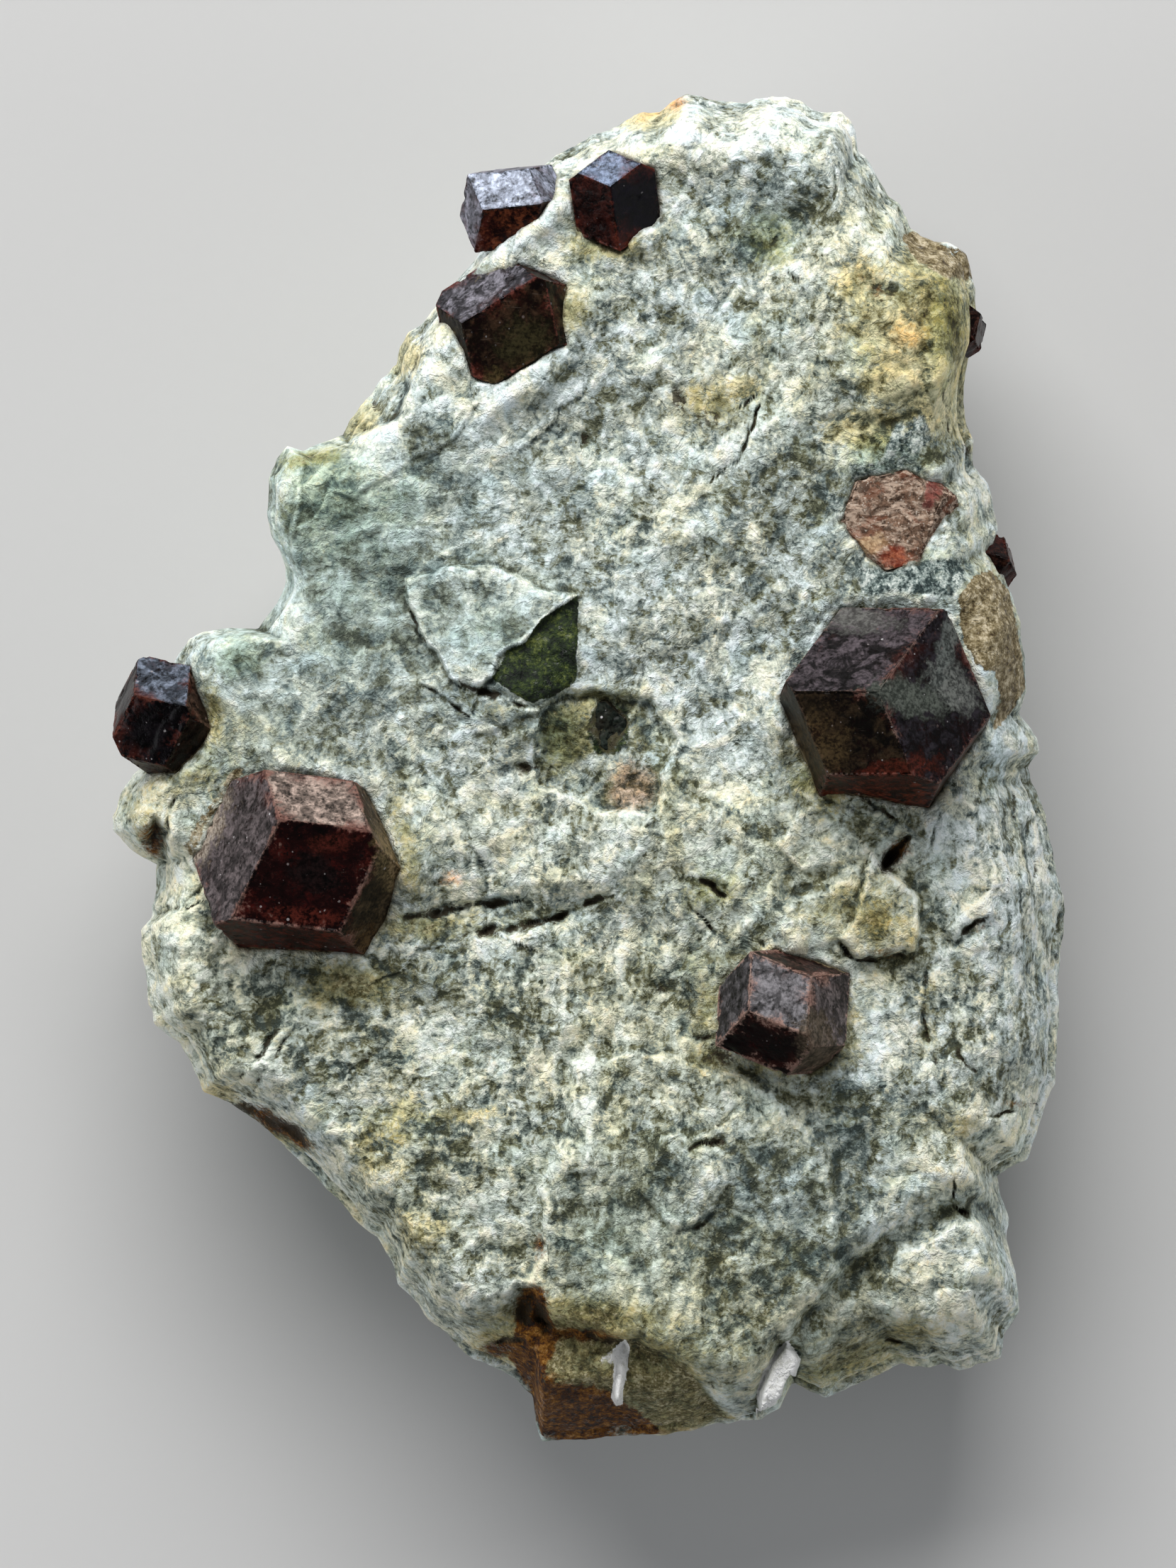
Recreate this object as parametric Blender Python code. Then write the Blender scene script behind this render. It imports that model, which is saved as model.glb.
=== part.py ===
"""Garnet in matrix: a hand specimen of pale chlorite-mica schist with dark red
garnet dodecahedra grown in it.

It lies on its back: the crystal face looks up (+Z), the long way of the rock
runs along Y, and the underside has one naturally flat cleavage face at z = 0.

The plan of the rock is drawn on a sheet whose unit is SHEET metres, with u to
the right and v down the sheet; place() turns a sheet point into X, Y.
"""
import math

import bmesh
import bpy
import numpy as np
from mathutils import Euler, Matrix, Vector

# ---------------------------------------------------------------- dimensions
SHEET = 0.0000525          # one sheet unit in metres
SHEET_U0 = 829.0           # sheet point that lies at X = 0
SHEET_V0 = 1082.5          # sheet point that lies at Y = 0
MM = 0.001

FRONT_LEVEL = 24.0         # mm, general height of the crystal face of the rock
BACK_RISE = 5.5            # mm, how far the broken back rises at the edges
BACK_WIDTH = 9.0           # mm, over what width it does so
SPAN_X = 33.0              # mm, semi-axes of the ellipse that the plan's
SPAN_Y = 49.0              # radius is measured against
PLAN_CELLS = 34            # grid cells across the plan
WALL_CELLS = 8             # grid cells up the side
GAP = 0.32                 # mm, clearance between a crystal and its socket

# Edge of the rock in plan, clockwise from the top, in sheet units.
OUTLINE = [
    (767, 232), (812, 204), (834, 189), (882, 168), (930, 157), (971, 130),
    (1006, 138), (1052, 144), (1089, 134), (1132, 143), (1159, 158),
    (1187, 155), (1208, 181), (1220, 218), (1245, 258), (1269, 288),
    (1285, 319), (1318, 339), (1349, 348), (1370, 371), (1376, 420),
    (1378, 470), (1364, 533), (1360, 564), (1375, 621), (1373, 654),
    (1394, 682), (1401, 707), (1411, 745), (1404, 775), (1417, 814),
    (1428, 846), (1441, 904), (1448, 960), (1437, 1007), (1466, 1043),
    (1467, 1061), (1451, 1082), (1466, 1120), (1480, 1172), (1504, 1285),
    (1494, 1375), (1496, 1430), (1490, 1530), (1473, 1564), (1449, 1636),
    (1407, 1660), (1412, 1684), (1425, 1718), (1422, 1751), (1435, 1800),
    (1441, 1852), (1419, 1883), (1413, 1920), (1355, 1937), (1312, 1932),
    (1272, 1926), (1230, 1947), (1165, 1975), (1119, 1952), (1101, 1987),
    (1074, 2002), (1000, 2015), (931, 2027), (853, 2029), (810, 2035),
    (764, 2035), (751, 1969), (706, 1935), (667, 1919), (631, 1883),
    (603, 1861), (560, 1811), (531, 1747), (476, 1692), (409, 1626),
    (376, 1593), (321, 1554), (287, 1540), (252, 1470), (216, 1443),
    (205, 1372), (199, 1311), (213, 1295), (218, 1263), (220, 1219),
    (172, 1187), (157, 1152), (169, 1123), (204, 1078), (235, 1040),
    (250, 985), (247, 940), (267, 901), (323, 885), (363, 887), (391, 849),
    (403, 821), (403, 801), (383, 757), (376, 721), (381, 676), (407, 630),
    (427, 636), (484, 614), (508, 572), (531, 542), (559, 514), (576, 468),
    (592, 458), (632, 410), (665, 372), (700, 330), (735, 290),
]

# Corners of the flat cleavage face that the rock rests on, in mm.
REST_FACE = [(-6, 36), (-13, 27), (-15, 15), (-21, 6), (-23, -8), (-19, -14),
             (-14, -27), (-5, -33), (6, -38), (17, -35), (24, -24), (22, -12),
             (25, 0), (20, 13), (21, 24), (12, 35)]

# Garnets: sheet point of the centre, height of the centre in mm, turn in
# degrees (XYZ), general face distance in mm, and the distance of each face
# that grew more or less than the rest. A face is named by its crystal
# direction: (1, 0, -1) is the rhombus whose normal lies between +x and -z.
# A crystal with "broken" was split off level that many mm above its centre.
GARNETS = {
    "garnet_top_left": dict(
        at=(725, 292), z=20.3, turn=(53, -65, -1), r=3.2,
        faces={(1, 0, 1): 3.0, (1, 0, -1): 3.5, (-1, 0, 1): 3.4,
               (0, 1, 1): 3.5, (0, 1, -1): 2.9, (0, -1, 1): 3.0}),
    "garnet_top": dict(
        at=(869, 281), z=22.0, turn=(44, -37, 38), r=3.2,
        faces={(1, 1, 0): 3.8, (1, 0, 1): 2.9, (-1, 0, 1): 3.5,
               (0, 1, 1): 3.1, (0, -1, 1): 3.4}),
    "garnet_upper_left": dict(
        at=(728, 455), z=20.9, turn=(-1, -54, 68), r=4.4,
        faces={(1, 1, 0): 4.2, (1, -1, 0): 4.9, (-1, 1, 0): 4.35,
               (1, 0, 1): 4.2, (0, 1, 1): 5.2, (0, -1, 1): 4.5}),
    "garnet_left_edge": dict(
        at=(238, 1015), z=19.0, turn=(2, -69, 23), r=3.6,
        faces={(1, 0, 1): 3.4, (1, 0, -1): 3.3, (-1, 0, 1): 3.3,
               (0, 1, 1): 3.8, (0, 1, -1): 3.9, (0, -1, 1): 4.0}),
    "garnet_lower_left": dict(
        at=(438, 1223), z=23.0, turn=(14, -54, 18), r=6.3,
        faces={(1, 1, 0): 6.8, (1, -1, 0): 6.3, (-1, 1, 0): 8.0,
               (1, 0, 1): 5.6, (1, 0, -1): 6.3, (-1, 0, 1): 7.8,
               (0, 1, 1): 6.0, (0, 1, -1): 5.7, (0, -1, 1): 5.8}),
    "garnet_right": dict(
        at=(1241, 1005), z=23.4, turn=(41, -18, 57), r=6.7,
        faces={(1, -1, 0): 7.0, (1, 0, 1): 6.2, (1, 0, -1): 7.0,
               (-1, 0, 1): 6.5, (0, 1, 1): 7.6, (0, -1, 1): 7.0}),
    "garnet_lower_right": dict(
        at=(1107, 1427), z=24.3, turn=(73, -60, -45), r=4.2,
        faces={(1, 1, 0): 4.4, (1, -1, 0): 4.5, (1, 0, -1): 3.9,
               (0, 1, 1): 4.5, (0, 1, -1): 4.0, (0, -1, 1): 3.8}),
    "garnet_embedded_right": dict(
        at=(1264, 733), z=21.2, turn=(38, -4, 14), r=3.7, broken=1.8,
        faces={(0, 1, 1): 3.2, (0, -1, -1): 3.2, (0, 1, -1): 3.2,
               (1, 0, 1): 3.1, (-1, 1, 0): 4.2}),
    "garnet_embedded_centre": dict(
        at=(854, 1027), z=21.9, turn=(42, 5, 12), r=1.9, broken=1.5,
        faces={}),
    "garnet_side_upper": dict(
        at=(1347, 464), z=15.5, turn=(20, 30, 10), r=2.1, faces={}),
    "garnet_side_lower": dict(
        at=(1389, 796), z=14.0, turn=(10, 40, 25), r=2.2, faces={}),
}

COLLECTION = "garnet_in_matrix"


# ------------------------------------------------------------------- helpers
def place(u, v):
    """Sheet point to X, Y in millimetres."""
    return ((u - SHEET_U0) * SHEET / MM, (SHEET_V0 - v) * SHEET / MM)


def smooth(edge0, edge1, x):
    t = np.clip((x - edge0) / (edge1 - edge0), 0.0, 1.0)
    return t * t * (3.0 - 2.0 * t)


def bump(x, y, u, v, ru, rv, turn=0.0):
    """Round hill of height 1 at a sheet point; ru, rv are its half sizes in
    sheet units and turn its rotation in degrees."""
    cx, cy = place(u, v)
    a = math.radians(turn)
    dx, dy = x - cx, y - cy
    p = (dx * math.cos(a) + dy * math.sin(a)) / (ru * SHEET / MM)
    q = (-dx * math.sin(a) + dy * math.cos(a)) / (rv * SHEET / MM)
    return np.exp(-(p * p + q * q))


def inside(x, y, points, soft):
    """1 inside a sheet polygon, 0 outside, with an edge soft mm wide."""
    pts = np.array([place(u, v) for u, v in points])
    best = np.full(x.shape, 1e9)
    odd = np.zeros(x.shape, bool)
    n = len(pts)
    for i in range(n):
        x0, y0 = pts[i]
        x1, y1 = pts[(i + 1) % n]
        ex, ey = x1 - x0, y1 - y0
        t = np.clip(((x - x0) * ex + (y - y0) * ey) / (ex * ex + ey * ey), 0, 1)
        best = np.minimum(best, np.hypot(x - x0 - t * ex, y - y0 - t * ey))
        cross = (y0 > y) != (y1 > y)
        with np.errstate(divide="ignore", invalid="ignore"):
            xi = x0 + (y - y0) * ex / (ey if ey else 1e-9)
        odd ^= cross & (x < xi)
    return smooth(-soft, soft, np.where(odd, best, -best))


def ripple(x, y, z=0.0, size=8.0, seed=0.0):
    """Slow unevenness of a broken face, between about -1 and 1."""
    s = size
    return (np.sin(x / s * 2.1 + 1.7 * np.sin(y / s * 1.3 + seed) + z / s)
            + np.sin(y / s * 1.7 + 1.3 * np.sin(x / s * 1.9 - seed) + 2.0)
            + 0.6 * np.sin((x + y) / s * 3.1 + seed * 1.7 + z / s * 2)) / 2.6


def polar_outline():
    """Radius of the plan against the direction from its centre."""
    pts = np.array([place(u, v) for u, v in OUTLINE])
    dense = []
    for i in range(len(pts)):
        a, b = pts[i], pts[(i + 1) % len(pts)]
        for k in range(12):
            dense.append(a + (b - a) * k / 12.0)
    dense = np.array(dense)
    ang = np.arctan2(dense[:, 1], dense[:, 0])
    rad = np.hypot(dense[:, 0], dense[:, 1])
    order = np.argsort(ang)
    ang, rad = ang[order], rad[order]
    return (np.concatenate([ang - 2 * math.pi, ang, ang + 2 * math.pi]),
            np.concatenate([rad, rad, rad]))


EDGE_ANGLE, EDGE_RADIUS = polar_outline()


def edge_radius(angle):
    return np.interp(angle, EDGE_ANGLE, EDGE_RADIUS)


# How wide the front rolls over at the edge and how far it drops there, in mm,
# against the direction in degrees (0 is +X, 90 is +Y).
ROLL = [(-180, 4.0, 4.5), (-150, 3.5, 5.0), (-120, 3.5, 6.0), (-95, 4.0, 7.0),
        (-70, 5.0, 7.0), (-50, 5.0, 6.0), (-25, 6.5, 8.0), (-2, 6.0, 7.0),
        (8, 4.5, 3.6), (14, 3.5, 2.6), (24, 3.5, 2.8), (32, 5.0, 6.0),
        (50, 4.0, 5.0), (75, 4.0, 5.0), (92, 4.5, 5.0), (97, 3.5, 1.6),
        (104, 3.0, 1.6), (110, 3.0, 3.5), (120, 3.5, 5.0), (127, 2.6, 3.2),
        (133, 1.6, 1.6), (152, 1.5, 1.5), (158, 2.2, 2.6), (166, 3.5, 4.5),
        (180, 4.0, 4.5)]


def roll(angle, gap):
    """Drop of the front at gap mm in from the edge."""
    deg = np.degrees(angle)
    width = np.interp(deg, [r[0] for r in ROLL], [r[1] for r in ROLL])
    drop = np.interp(deg, [r[0] for r in ROLL], [r[2] for r in ROLL])
    t = np.clip(1.0 - gap / width, 0.0, 1.0)
    return drop * t ** 2.2


# Banks of rock against the crystals: sheet point, half sizes, turn, rise in mm.
BANKS = [(1185, 1100, 115, 30, -40, 1.7), (1100, 1005, 24, 70, 0, 1.2),
         (1262, 838, 110, 24, 4, 1.0), (1395, 930, 30, 90, -12, 1.2),
         (806, 450, 36, 60, -20, 1.2), (735, 552, 70, 24, 35, 1.0),
         (755, 318, 50, 20, 40, 0.9), (578, 1225, 32, 80, 0, 1.8),
         (450, 1086, 90, 22, -16, 1.0), (895, 345, 50, 20, 30, 0.8)]


def front(x, y):
    """Height of the crystal face of the rock, in mm, before the edge roll."""
    h = np.full(x.shape, FRONT_LEVEL)
    h -= 2.2 * ((y - 2.0) / 50.0) ** 2 + 1.6 * (x / 34.0) ** 2
    h += 0.45 * ripple(x, y, 0.0, 9.0, 0.7)
    h += 1.3 * bump(x, y, 1060, 215, 150, 60, -10)      # white crest, top right
    h -= 1.1 * bump(x, y, 1090, 335, 70, 40, 40)        # shallow scoop below it
    h += 2.0 * bump(x, y, 1270, 450, 95, 120, 0)        # ochre mound
    h += 0.8 * bump(x, y, 1180, 560, 80, 50, 20)
    h -= 0.9 * bump(x, y, 560, 780, 170, 90, 20)        # smooth hollow, left
    h += 2.6 * inside(x, y, [(570, 838), (640, 800), (740, 805), (818, 838),
                             (818, 905), (757, 978), (700, 965), (652, 955),
                             (617, 935)], 1.2)          # raised broken plate
    h -= 0.9 * inside(x, y, [(762, 1060), (800, 978), (905, 965), (955, 1040),
                             (930, 1130), (850, 1152), (785, 1125)],
                      0.8)                              # cast round a crystal
    h += 0.4 * bump(x, y, 1250, 1000, 190, 190)         # swell round a crystal
    h += 0.4 * bump(x, y, 1105, 1440, 130, 120)
    h += 0.2 * bump(x, y, 700, 440, 110, 110)
    h -= 1.0 * bump(x, y, 700, 1285, 150, 26)           # ledge across the face
    h += 0.8 * bump(x, y, 900, 1180, 200, 90)
    h -= 1.3 * bump(x, y, 1262, 1197, 32, 32)           # small dark hollow
    h += 0.9 * inside(x, y, [(1229, 1203), (1294, 1272), (1291, 1333),
                             (1211, 1351), (1187, 1320), (1215, 1240)], 0.9)
    h -= 2.4 * inside(x, y, [(1107, 1886), (1184, 1794), (1294, 1712),
                             (1346, 1687), (1480, 1680), (1480, 2010),
                             (1100, 2010)], 1.5)        # lobe, lower right
    h -= 3.0 * inside(x, y, [(640, 1880), (735, 1828), (775, 1872),
                             (872, 1897), (1000, 1965), (1060, 2060),
                             (700, 2080), (600, 1960)], 1.6)   # bottom ledge
    h += 0.9 * inside(x, y, [(764, 1676), (771, 1765), (745, 1815),
                             (760, 1876), (1000, 1960), (1107, 1886),
                             (1184, 1794), (1150, 1560), (900, 1500),
                             (790, 1540)], 1.5)         # central slab
    h -= 2.3 * bump(x, y, 320, 1210, 120, 190)
    # the rock climbs a little against the crystals
    for u, v, ru, rv, turn, rise in BANKS:
        h += rise * bump(x, y, u, v, ru, rv, turn)
    return h


def outside(x, y, pts):
    """Distance in mm out of a polygon given in mm, 0 inside it."""
    best = np.full(x.shape, 1e9)
    odd = np.zeros(x.shape, bool)
    for i in range(len(pts)):
        x0, y0 = pts[i]
        x1, y1 = pts[(i + 1) % len(pts)]
        ex, ey = x1 - x0, y1 - y0
        t = np.clip(((x - x0) * ex + (y - y0) * ey) / (ex * ex + ey * ey), 0, 1)
        best = np.minimum(best, np.hypot(x - x0 - t * ex, y - y0 - t * ey))
        odd ^= ((y0 > y) != (y1 > y)) & (
            x < x0 + (y - y0) * ex / (ey if ey else 1e-9))
    return np.where(odd, 0.0, best)


def back(x, y):
    """Height of the underside: one flat cleavage face, broken around it."""
    d = outside(x, y, REST_FACE)
    out = np.clip(d / BACK_WIDTH, 0.0, 1.0)
    steps = 0.6 * out + 0.25 * smooth(0.1, 0.22, out) + 0.15 * smooth(0.5, 0.62, out)
    return BACK_RISE * steps * (1.0 + 0.25 * ripple(x, y, 0.0, 7.0, 2.3) * out)


def wall_inset(s, angle):
    """How far in from the plan's edge the side lies, s from 0 below to 1."""
    low = 5.0 + 1.6 * np.sin(3 * angle + 0.6) + 0.9 * np.sin(7 * angle)
    under = low * np.clip((0.62 - s) / 0.62, 0.0, 1.0) ** 1.5
    over = 0.8 * np.clip((s - 0.7) / 0.3, 0.0, 1.0) ** 1.5
    return under + over


def rock_point(a, b, s):
    """Point of the rock in mm for a point of the unit slab: a and b run from
    -1 to 1 across the plan and s from 0 on the back to 1 on the front."""
    r = np.maximum(np.abs(a), np.abs(b))
    with np.errstate(divide="ignore", invalid="ignore"):
        t = np.where(np.abs(a) >= np.abs(b),
                     math.pi / 4 * np.where(a == 0, 0, b / np.where(a == 0, 1, a)),
                     math.pi / 2
                     - math.pi / 4 * np.where(b == 0, 0, a / np.where(b == 0, 1, b)))
    sign = np.where(np.abs(a) >= np.abs(b), np.sign(a), np.sign(b))
    cx, cy = np.cos(t) * sign, np.sin(t) * sign
    angle = np.arctan2(cy * SPAN_Y, cx * SPAN_X)
    edge = edge_radius(angle)
    inset = wall_inset(s, angle)
    rad = r * (edge - inset * r * r)
    x, y = rad * np.cos(angle), rad * np.sin(angle)
    gap = edge - rad
    top = front(x, y) - roll(angle, np.maximum(gap - 0.8, 0.0))
    bottom = back(x, y)
    return x, y, bottom + s * (top - bottom)


# -------------------------------------------------------------- construction
def clear_scene():
    for ob in list(bpy.data.objects):
        bpy.data.objects.remove(ob, do_unlink=True)


def new_collection(name):
    col = bpy.data.collections.new(name)
    bpy.context.scene.collection.children.link(col)
    return col


def material(name, colour, roughness, metallic=0.0):
    mat = bpy.data.materials.new(name)
    mat.use_nodes = True
    bsdf = mat.node_tree.nodes["Principled BSDF"]
    bsdf.inputs["Base Color"].default_value = (*colour, 1.0)
    bsdf.inputs["Roughness"].default_value = roughness
    bsdf.inputs["Metallic"].default_value = metallic
    mat.diffuse_color = (*colour, 1.0)
    return mat


def make_rock(col, mat):
    """A cube cut into a fine grid, each of whose points is moved onto the
    broken rock by rock_point()."""
    bm = bmesh.new()
    bmesh.ops.create_cube(bm, size=2.0)
    cuts = []
    for k in range(1, PLAN_CELLS):
        c = -1.0 + 2.0 * k / PLAN_CELLS
        cuts += [(Vector((c, 0, 0)), Vector((1, 0, 0))),
                 (Vector((0, c, 0)), Vector((0, 1, 0)))]
    for k in range(1, WALL_CELLS):
        cuts.append((Vector((0, 0, -1.0 + 2.0 * k / WALL_CELLS)),
                     Vector((0, 0, 1))))
    for co, no in cuts:
        bmesh.ops.bisect_plane(
            bm, geom=bm.verts[:] + bm.edges[:] + bm.faces[:],
            dist=1e-7, plane_co=co, plane_no=no)
    a = np.array([v.co.x for v in bm.verts])
    b = np.array([v.co.y for v in bm.verts])
    s = np.array([(v.co.z + 1.0) / 2.0 for v in bm.verts])
    x, y, z = rock_point(a, b, s)
    for i, v in enumerate(bm.verts):
        v.co = (x[i] * MM, y[i] * MM, z[i] * MM)
    bmesh.ops.triangulate(bm, faces=bm.faces[:])
    bmesh.ops.recalc_face_normals(bm, faces=bm.faces[:])
    mesh = bpy.data.meshes.new("matrix")
    bm.to_mesh(mesh)
    bm.free()
    mesh.materials.append(mat)
    ob = bpy.data.objects.new("matrix", mesh)
    col.objects.link(ob)
    return ob


def turn_of(spec):
    return Euler([math.radians(v) for v in spec["turn"]], "XYZ").to_matrix()


def crystal_mesh(name, spec, grow=0.0):
    """A cube cut back by the twelve faces of a rhombic dodecahedron, each at
    its own distance; grow moves every face outwards by that many mm."""
    bm = bmesh.new()
    bmesh.ops.create_cube(bm, size=6.0 * spec["r"] * MM)
    for i, j in ((0, 1), (0, 2), (1, 2)):
        for si in (1, -1):
            for sj in (1, -1):
                n = [0, 0, 0]
                n[i], n[j] = si, sj
                d = spec["faces"].get(tuple(n), spec["r"]) + grow
                no = Vector(n).normalized()
                cut = bmesh.ops.bisect_plane(
                    bm, geom=bm.verts[:] + bm.edges[:] + bm.faces[:],
                    dist=1e-8, plane_co=no * d * MM, plane_no=no,
                    clear_outer=True)
                rim = [e for e in cut["geom_cut"]
                       if isinstance(e, bmesh.types.BMEdge)]
                bmesh.ops.edgeloop_fill(bm, edges=rim)
    if "broken" in spec and not grow:
        up = turn_of(spec).inverted() @ Vector((0.06, 0.04, 1.0)).normalized()
        cut = bmesh.ops.bisect_plane(
            bm, geom=bm.verts[:] + bm.edges[:] + bm.faces[:], dist=1e-8,
            plane_co=up * spec["broken"] * MM, plane_no=up,
            clear_outer=True)
        bmesh.ops.edgeloop_fill(bm, edges=[
            e for e in cut["geom_cut"] if isinstance(e, bmesh.types.BMEdge)])
    bmesh.ops.remove_doubles(bm, verts=bm.verts[:], dist=2e-5)
    bmesh.ops.dissolve_degenerate(bm, dist=1e-5, edges=bm.edges[:])
    bmesh.ops.recalc_face_normals(bm, faces=bm.faces[:])
    mesh = bpy.data.meshes.new(name)
    bm.to_mesh(mesh)
    bm.free()
    return mesh


def crystal_matrix(spec):
    x, y = place(*spec["at"])
    return (Matrix.Translation((x * MM, y * MM, spec["z"] * MM))
            @ turn_of(spec).to_4x4())


def main():
    clear_scene()
    parts = new_collection(COLLECTION)
    cutters = new_collection(COLLECTION + "_cutters")
    schist = material("schist", (0.46, 0.49, 0.42), 0.75)
    rock = make_rock(parts, schist)
    for name, spec in GARNETS.items():
        weathered = name == "garnet_embedded_right"
        mat = material(name + "_finish",
                       (0.30, 0.13, 0.09) if weathered else (0.10, 0.02, 0.02),
                       0.6 if weathered else 0.3)
        mesh = crystal_mesh(name, spec)
        mesh.materials.append(mat)
        ob = bpy.data.objects.new(name, mesh)
        ob.matrix_world = crystal_matrix(spec)
        parts.objects.link(ob)
        cutter = bpy.data.objects.new(
            name + "_socket", crystal_mesh(name + "_socket", spec, GAP))
        cutter.matrix_world = crystal_matrix(spec)
        cutter.hide_render = True
        cutter.display_type = "WIRE"
        cutters.objects.link(cutter)
        cut = rock.modifiers.new(name + "_socket", "BOOLEAN")
        cut.operation = "DIFFERENCE"
        cut.solver = "EXACT"
        cut.object = cutter


main()
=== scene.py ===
"""Looks of the garnet in matrix: a slab of pale grey-green chlorite-mica schist
with dark red garnets standing out of its upper face.

Lengths are worked out in millimetres and turned into metres when a mesh is
made. Places on the rock are given as points of a sheet, u to the right and v
down, whose unit is 0.0525 mm and whose point (829, 1082.5) is X = Y = 0.
"""
import math

import bmesh
import bpy
import numpy as np
from mathutils import Euler, Matrix, Vector


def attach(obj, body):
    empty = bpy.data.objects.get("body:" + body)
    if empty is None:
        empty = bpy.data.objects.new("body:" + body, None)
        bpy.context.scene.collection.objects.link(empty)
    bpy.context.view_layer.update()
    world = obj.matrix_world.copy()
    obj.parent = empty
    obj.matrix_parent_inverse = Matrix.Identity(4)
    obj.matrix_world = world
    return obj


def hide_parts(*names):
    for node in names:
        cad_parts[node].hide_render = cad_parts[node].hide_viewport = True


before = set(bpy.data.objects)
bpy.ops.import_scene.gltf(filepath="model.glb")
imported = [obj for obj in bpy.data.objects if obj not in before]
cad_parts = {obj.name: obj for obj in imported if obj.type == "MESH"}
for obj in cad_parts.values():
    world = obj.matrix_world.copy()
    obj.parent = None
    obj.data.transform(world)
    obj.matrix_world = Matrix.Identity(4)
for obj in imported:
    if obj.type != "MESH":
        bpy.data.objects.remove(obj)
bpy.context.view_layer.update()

# ------------------------------------------------------------- shared measures
SHEET = 0.0525
SHEET_U0 = 829.0
SHEET_V0 = 1082.5
MM = 0.001

FRONT_LEVEL = 24.0
BACK_RISE = 5.5
BACK_WIDTH = 9.0
SPAN_X = 33.0
SPAN_Y = 49.0

# Edge of the rock in plan, clockwise from the top, in sheet units.
OUTLINE = [
    (767, 232), (783, 219), (812, 204), (834, 189), (860, 182), (882, 168),
    (901, 158), (930, 157), (949, 142), (971, 130), (987, 133), (1006, 138),
    (1037, 144), (1052, 144), (1067, 138), (1089, 134), (1110, 135),
    (1132, 143), (1147, 154), (1159, 158), (1187, 155), (1199, 166),
    (1208, 181), (1211, 203), (1220, 218), (1236, 239), (1245, 258),
    (1254, 276), (1269, 288), (1280, 307), (1285, 319), (1300, 331),
    (1318, 339), (1334, 340), (1349, 348), (1364, 357), (1370, 371),
    (1375, 395), (1377, 425), (1378, 470), (1366, 510), (1362, 540),
    (1360, 564), (1366, 600), (1375, 621), (1373, 654), (1394, 682),
    (1401, 707), (1408, 740), (1403, 771), (1417, 814), (1428, 846),
    (1437, 871), (1441, 904), (1448, 939), (1448, 975), (1437, 1007),
    (1448, 1018), (1466, 1043), (1467, 1061), (1451, 1082), (1459, 1107),
    (1466, 1120), (1480, 1172), (1493, 1228), (1504, 1285), (1499, 1330),
    (1494, 1375), (1496, 1430), (1490, 1530), (1473, 1564), (1463, 1600),
    (1449, 1636), (1427, 1648), (1407, 1660), (1412, 1684), (1425, 1718),
    (1422, 1751), (1435, 1800), (1441, 1852), (1419, 1883), (1413, 1920),
    (1380, 1926), (1355, 1937), (1331, 1926), (1312, 1932), (1272, 1926),
    (1230, 1947), (1165, 1975), (1141, 1963), (1119, 1952), (1101, 1987),
    (1074, 2002), (1037, 2009), (1000, 2015), (974, 2022), (931, 2027),
    (853, 2029), (810, 2035), (764, 2035), (756, 2015), (751, 1969),
    (728, 1951), (706, 1935), (667, 1919), (649, 1904), (631, 1883),
    (603, 1861), (589, 1840), (560, 1811), (553, 1781), (531, 1747),
    (503, 1725), (476, 1692), (442, 1659), (409, 1626), (376, 1593),
    (321, 1554), (287, 1540), (268, 1502), (252, 1470), (236, 1461),
    (216, 1443), (209, 1416), (205, 1372), (201, 1343), (199, 1311),
    (213, 1295), (218, 1263), (220, 1219), (191, 1204), (172, 1187),
    (159, 1171), (157, 1152), (169, 1123), (185, 1094), (204, 1078),
    (235, 1050), (250, 1000), (243, 940), (267, 901), (291, 891),
    (323, 885), (363, 887), (375, 873), (391, 849), (403, 821),
    (403, 801), (395, 777), (383, 757), (376, 721), (381, 676),
    (391, 648), (407, 630), (427, 636), (484, 614), (492, 596),
    (508, 572), (531, 542), (559, 514), (564, 487), (576, 468),
    (592, 458), (632, 410), (665, 372), (700, 330), (735, 290),
]

# Corners of the flat cleavage face that the rock rests on, in mm.
REST_FACE = [(-6, 36), (-13, 27), (-15, 15), (-21, 6), (-23, -8), (-19, -14),
             (-14, -27), (-5, -33), (6, -38), (17, -35), (24, -24), (22, -12),
             (25, 0), (20, 13), (21, 24), (12, 35)]

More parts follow.
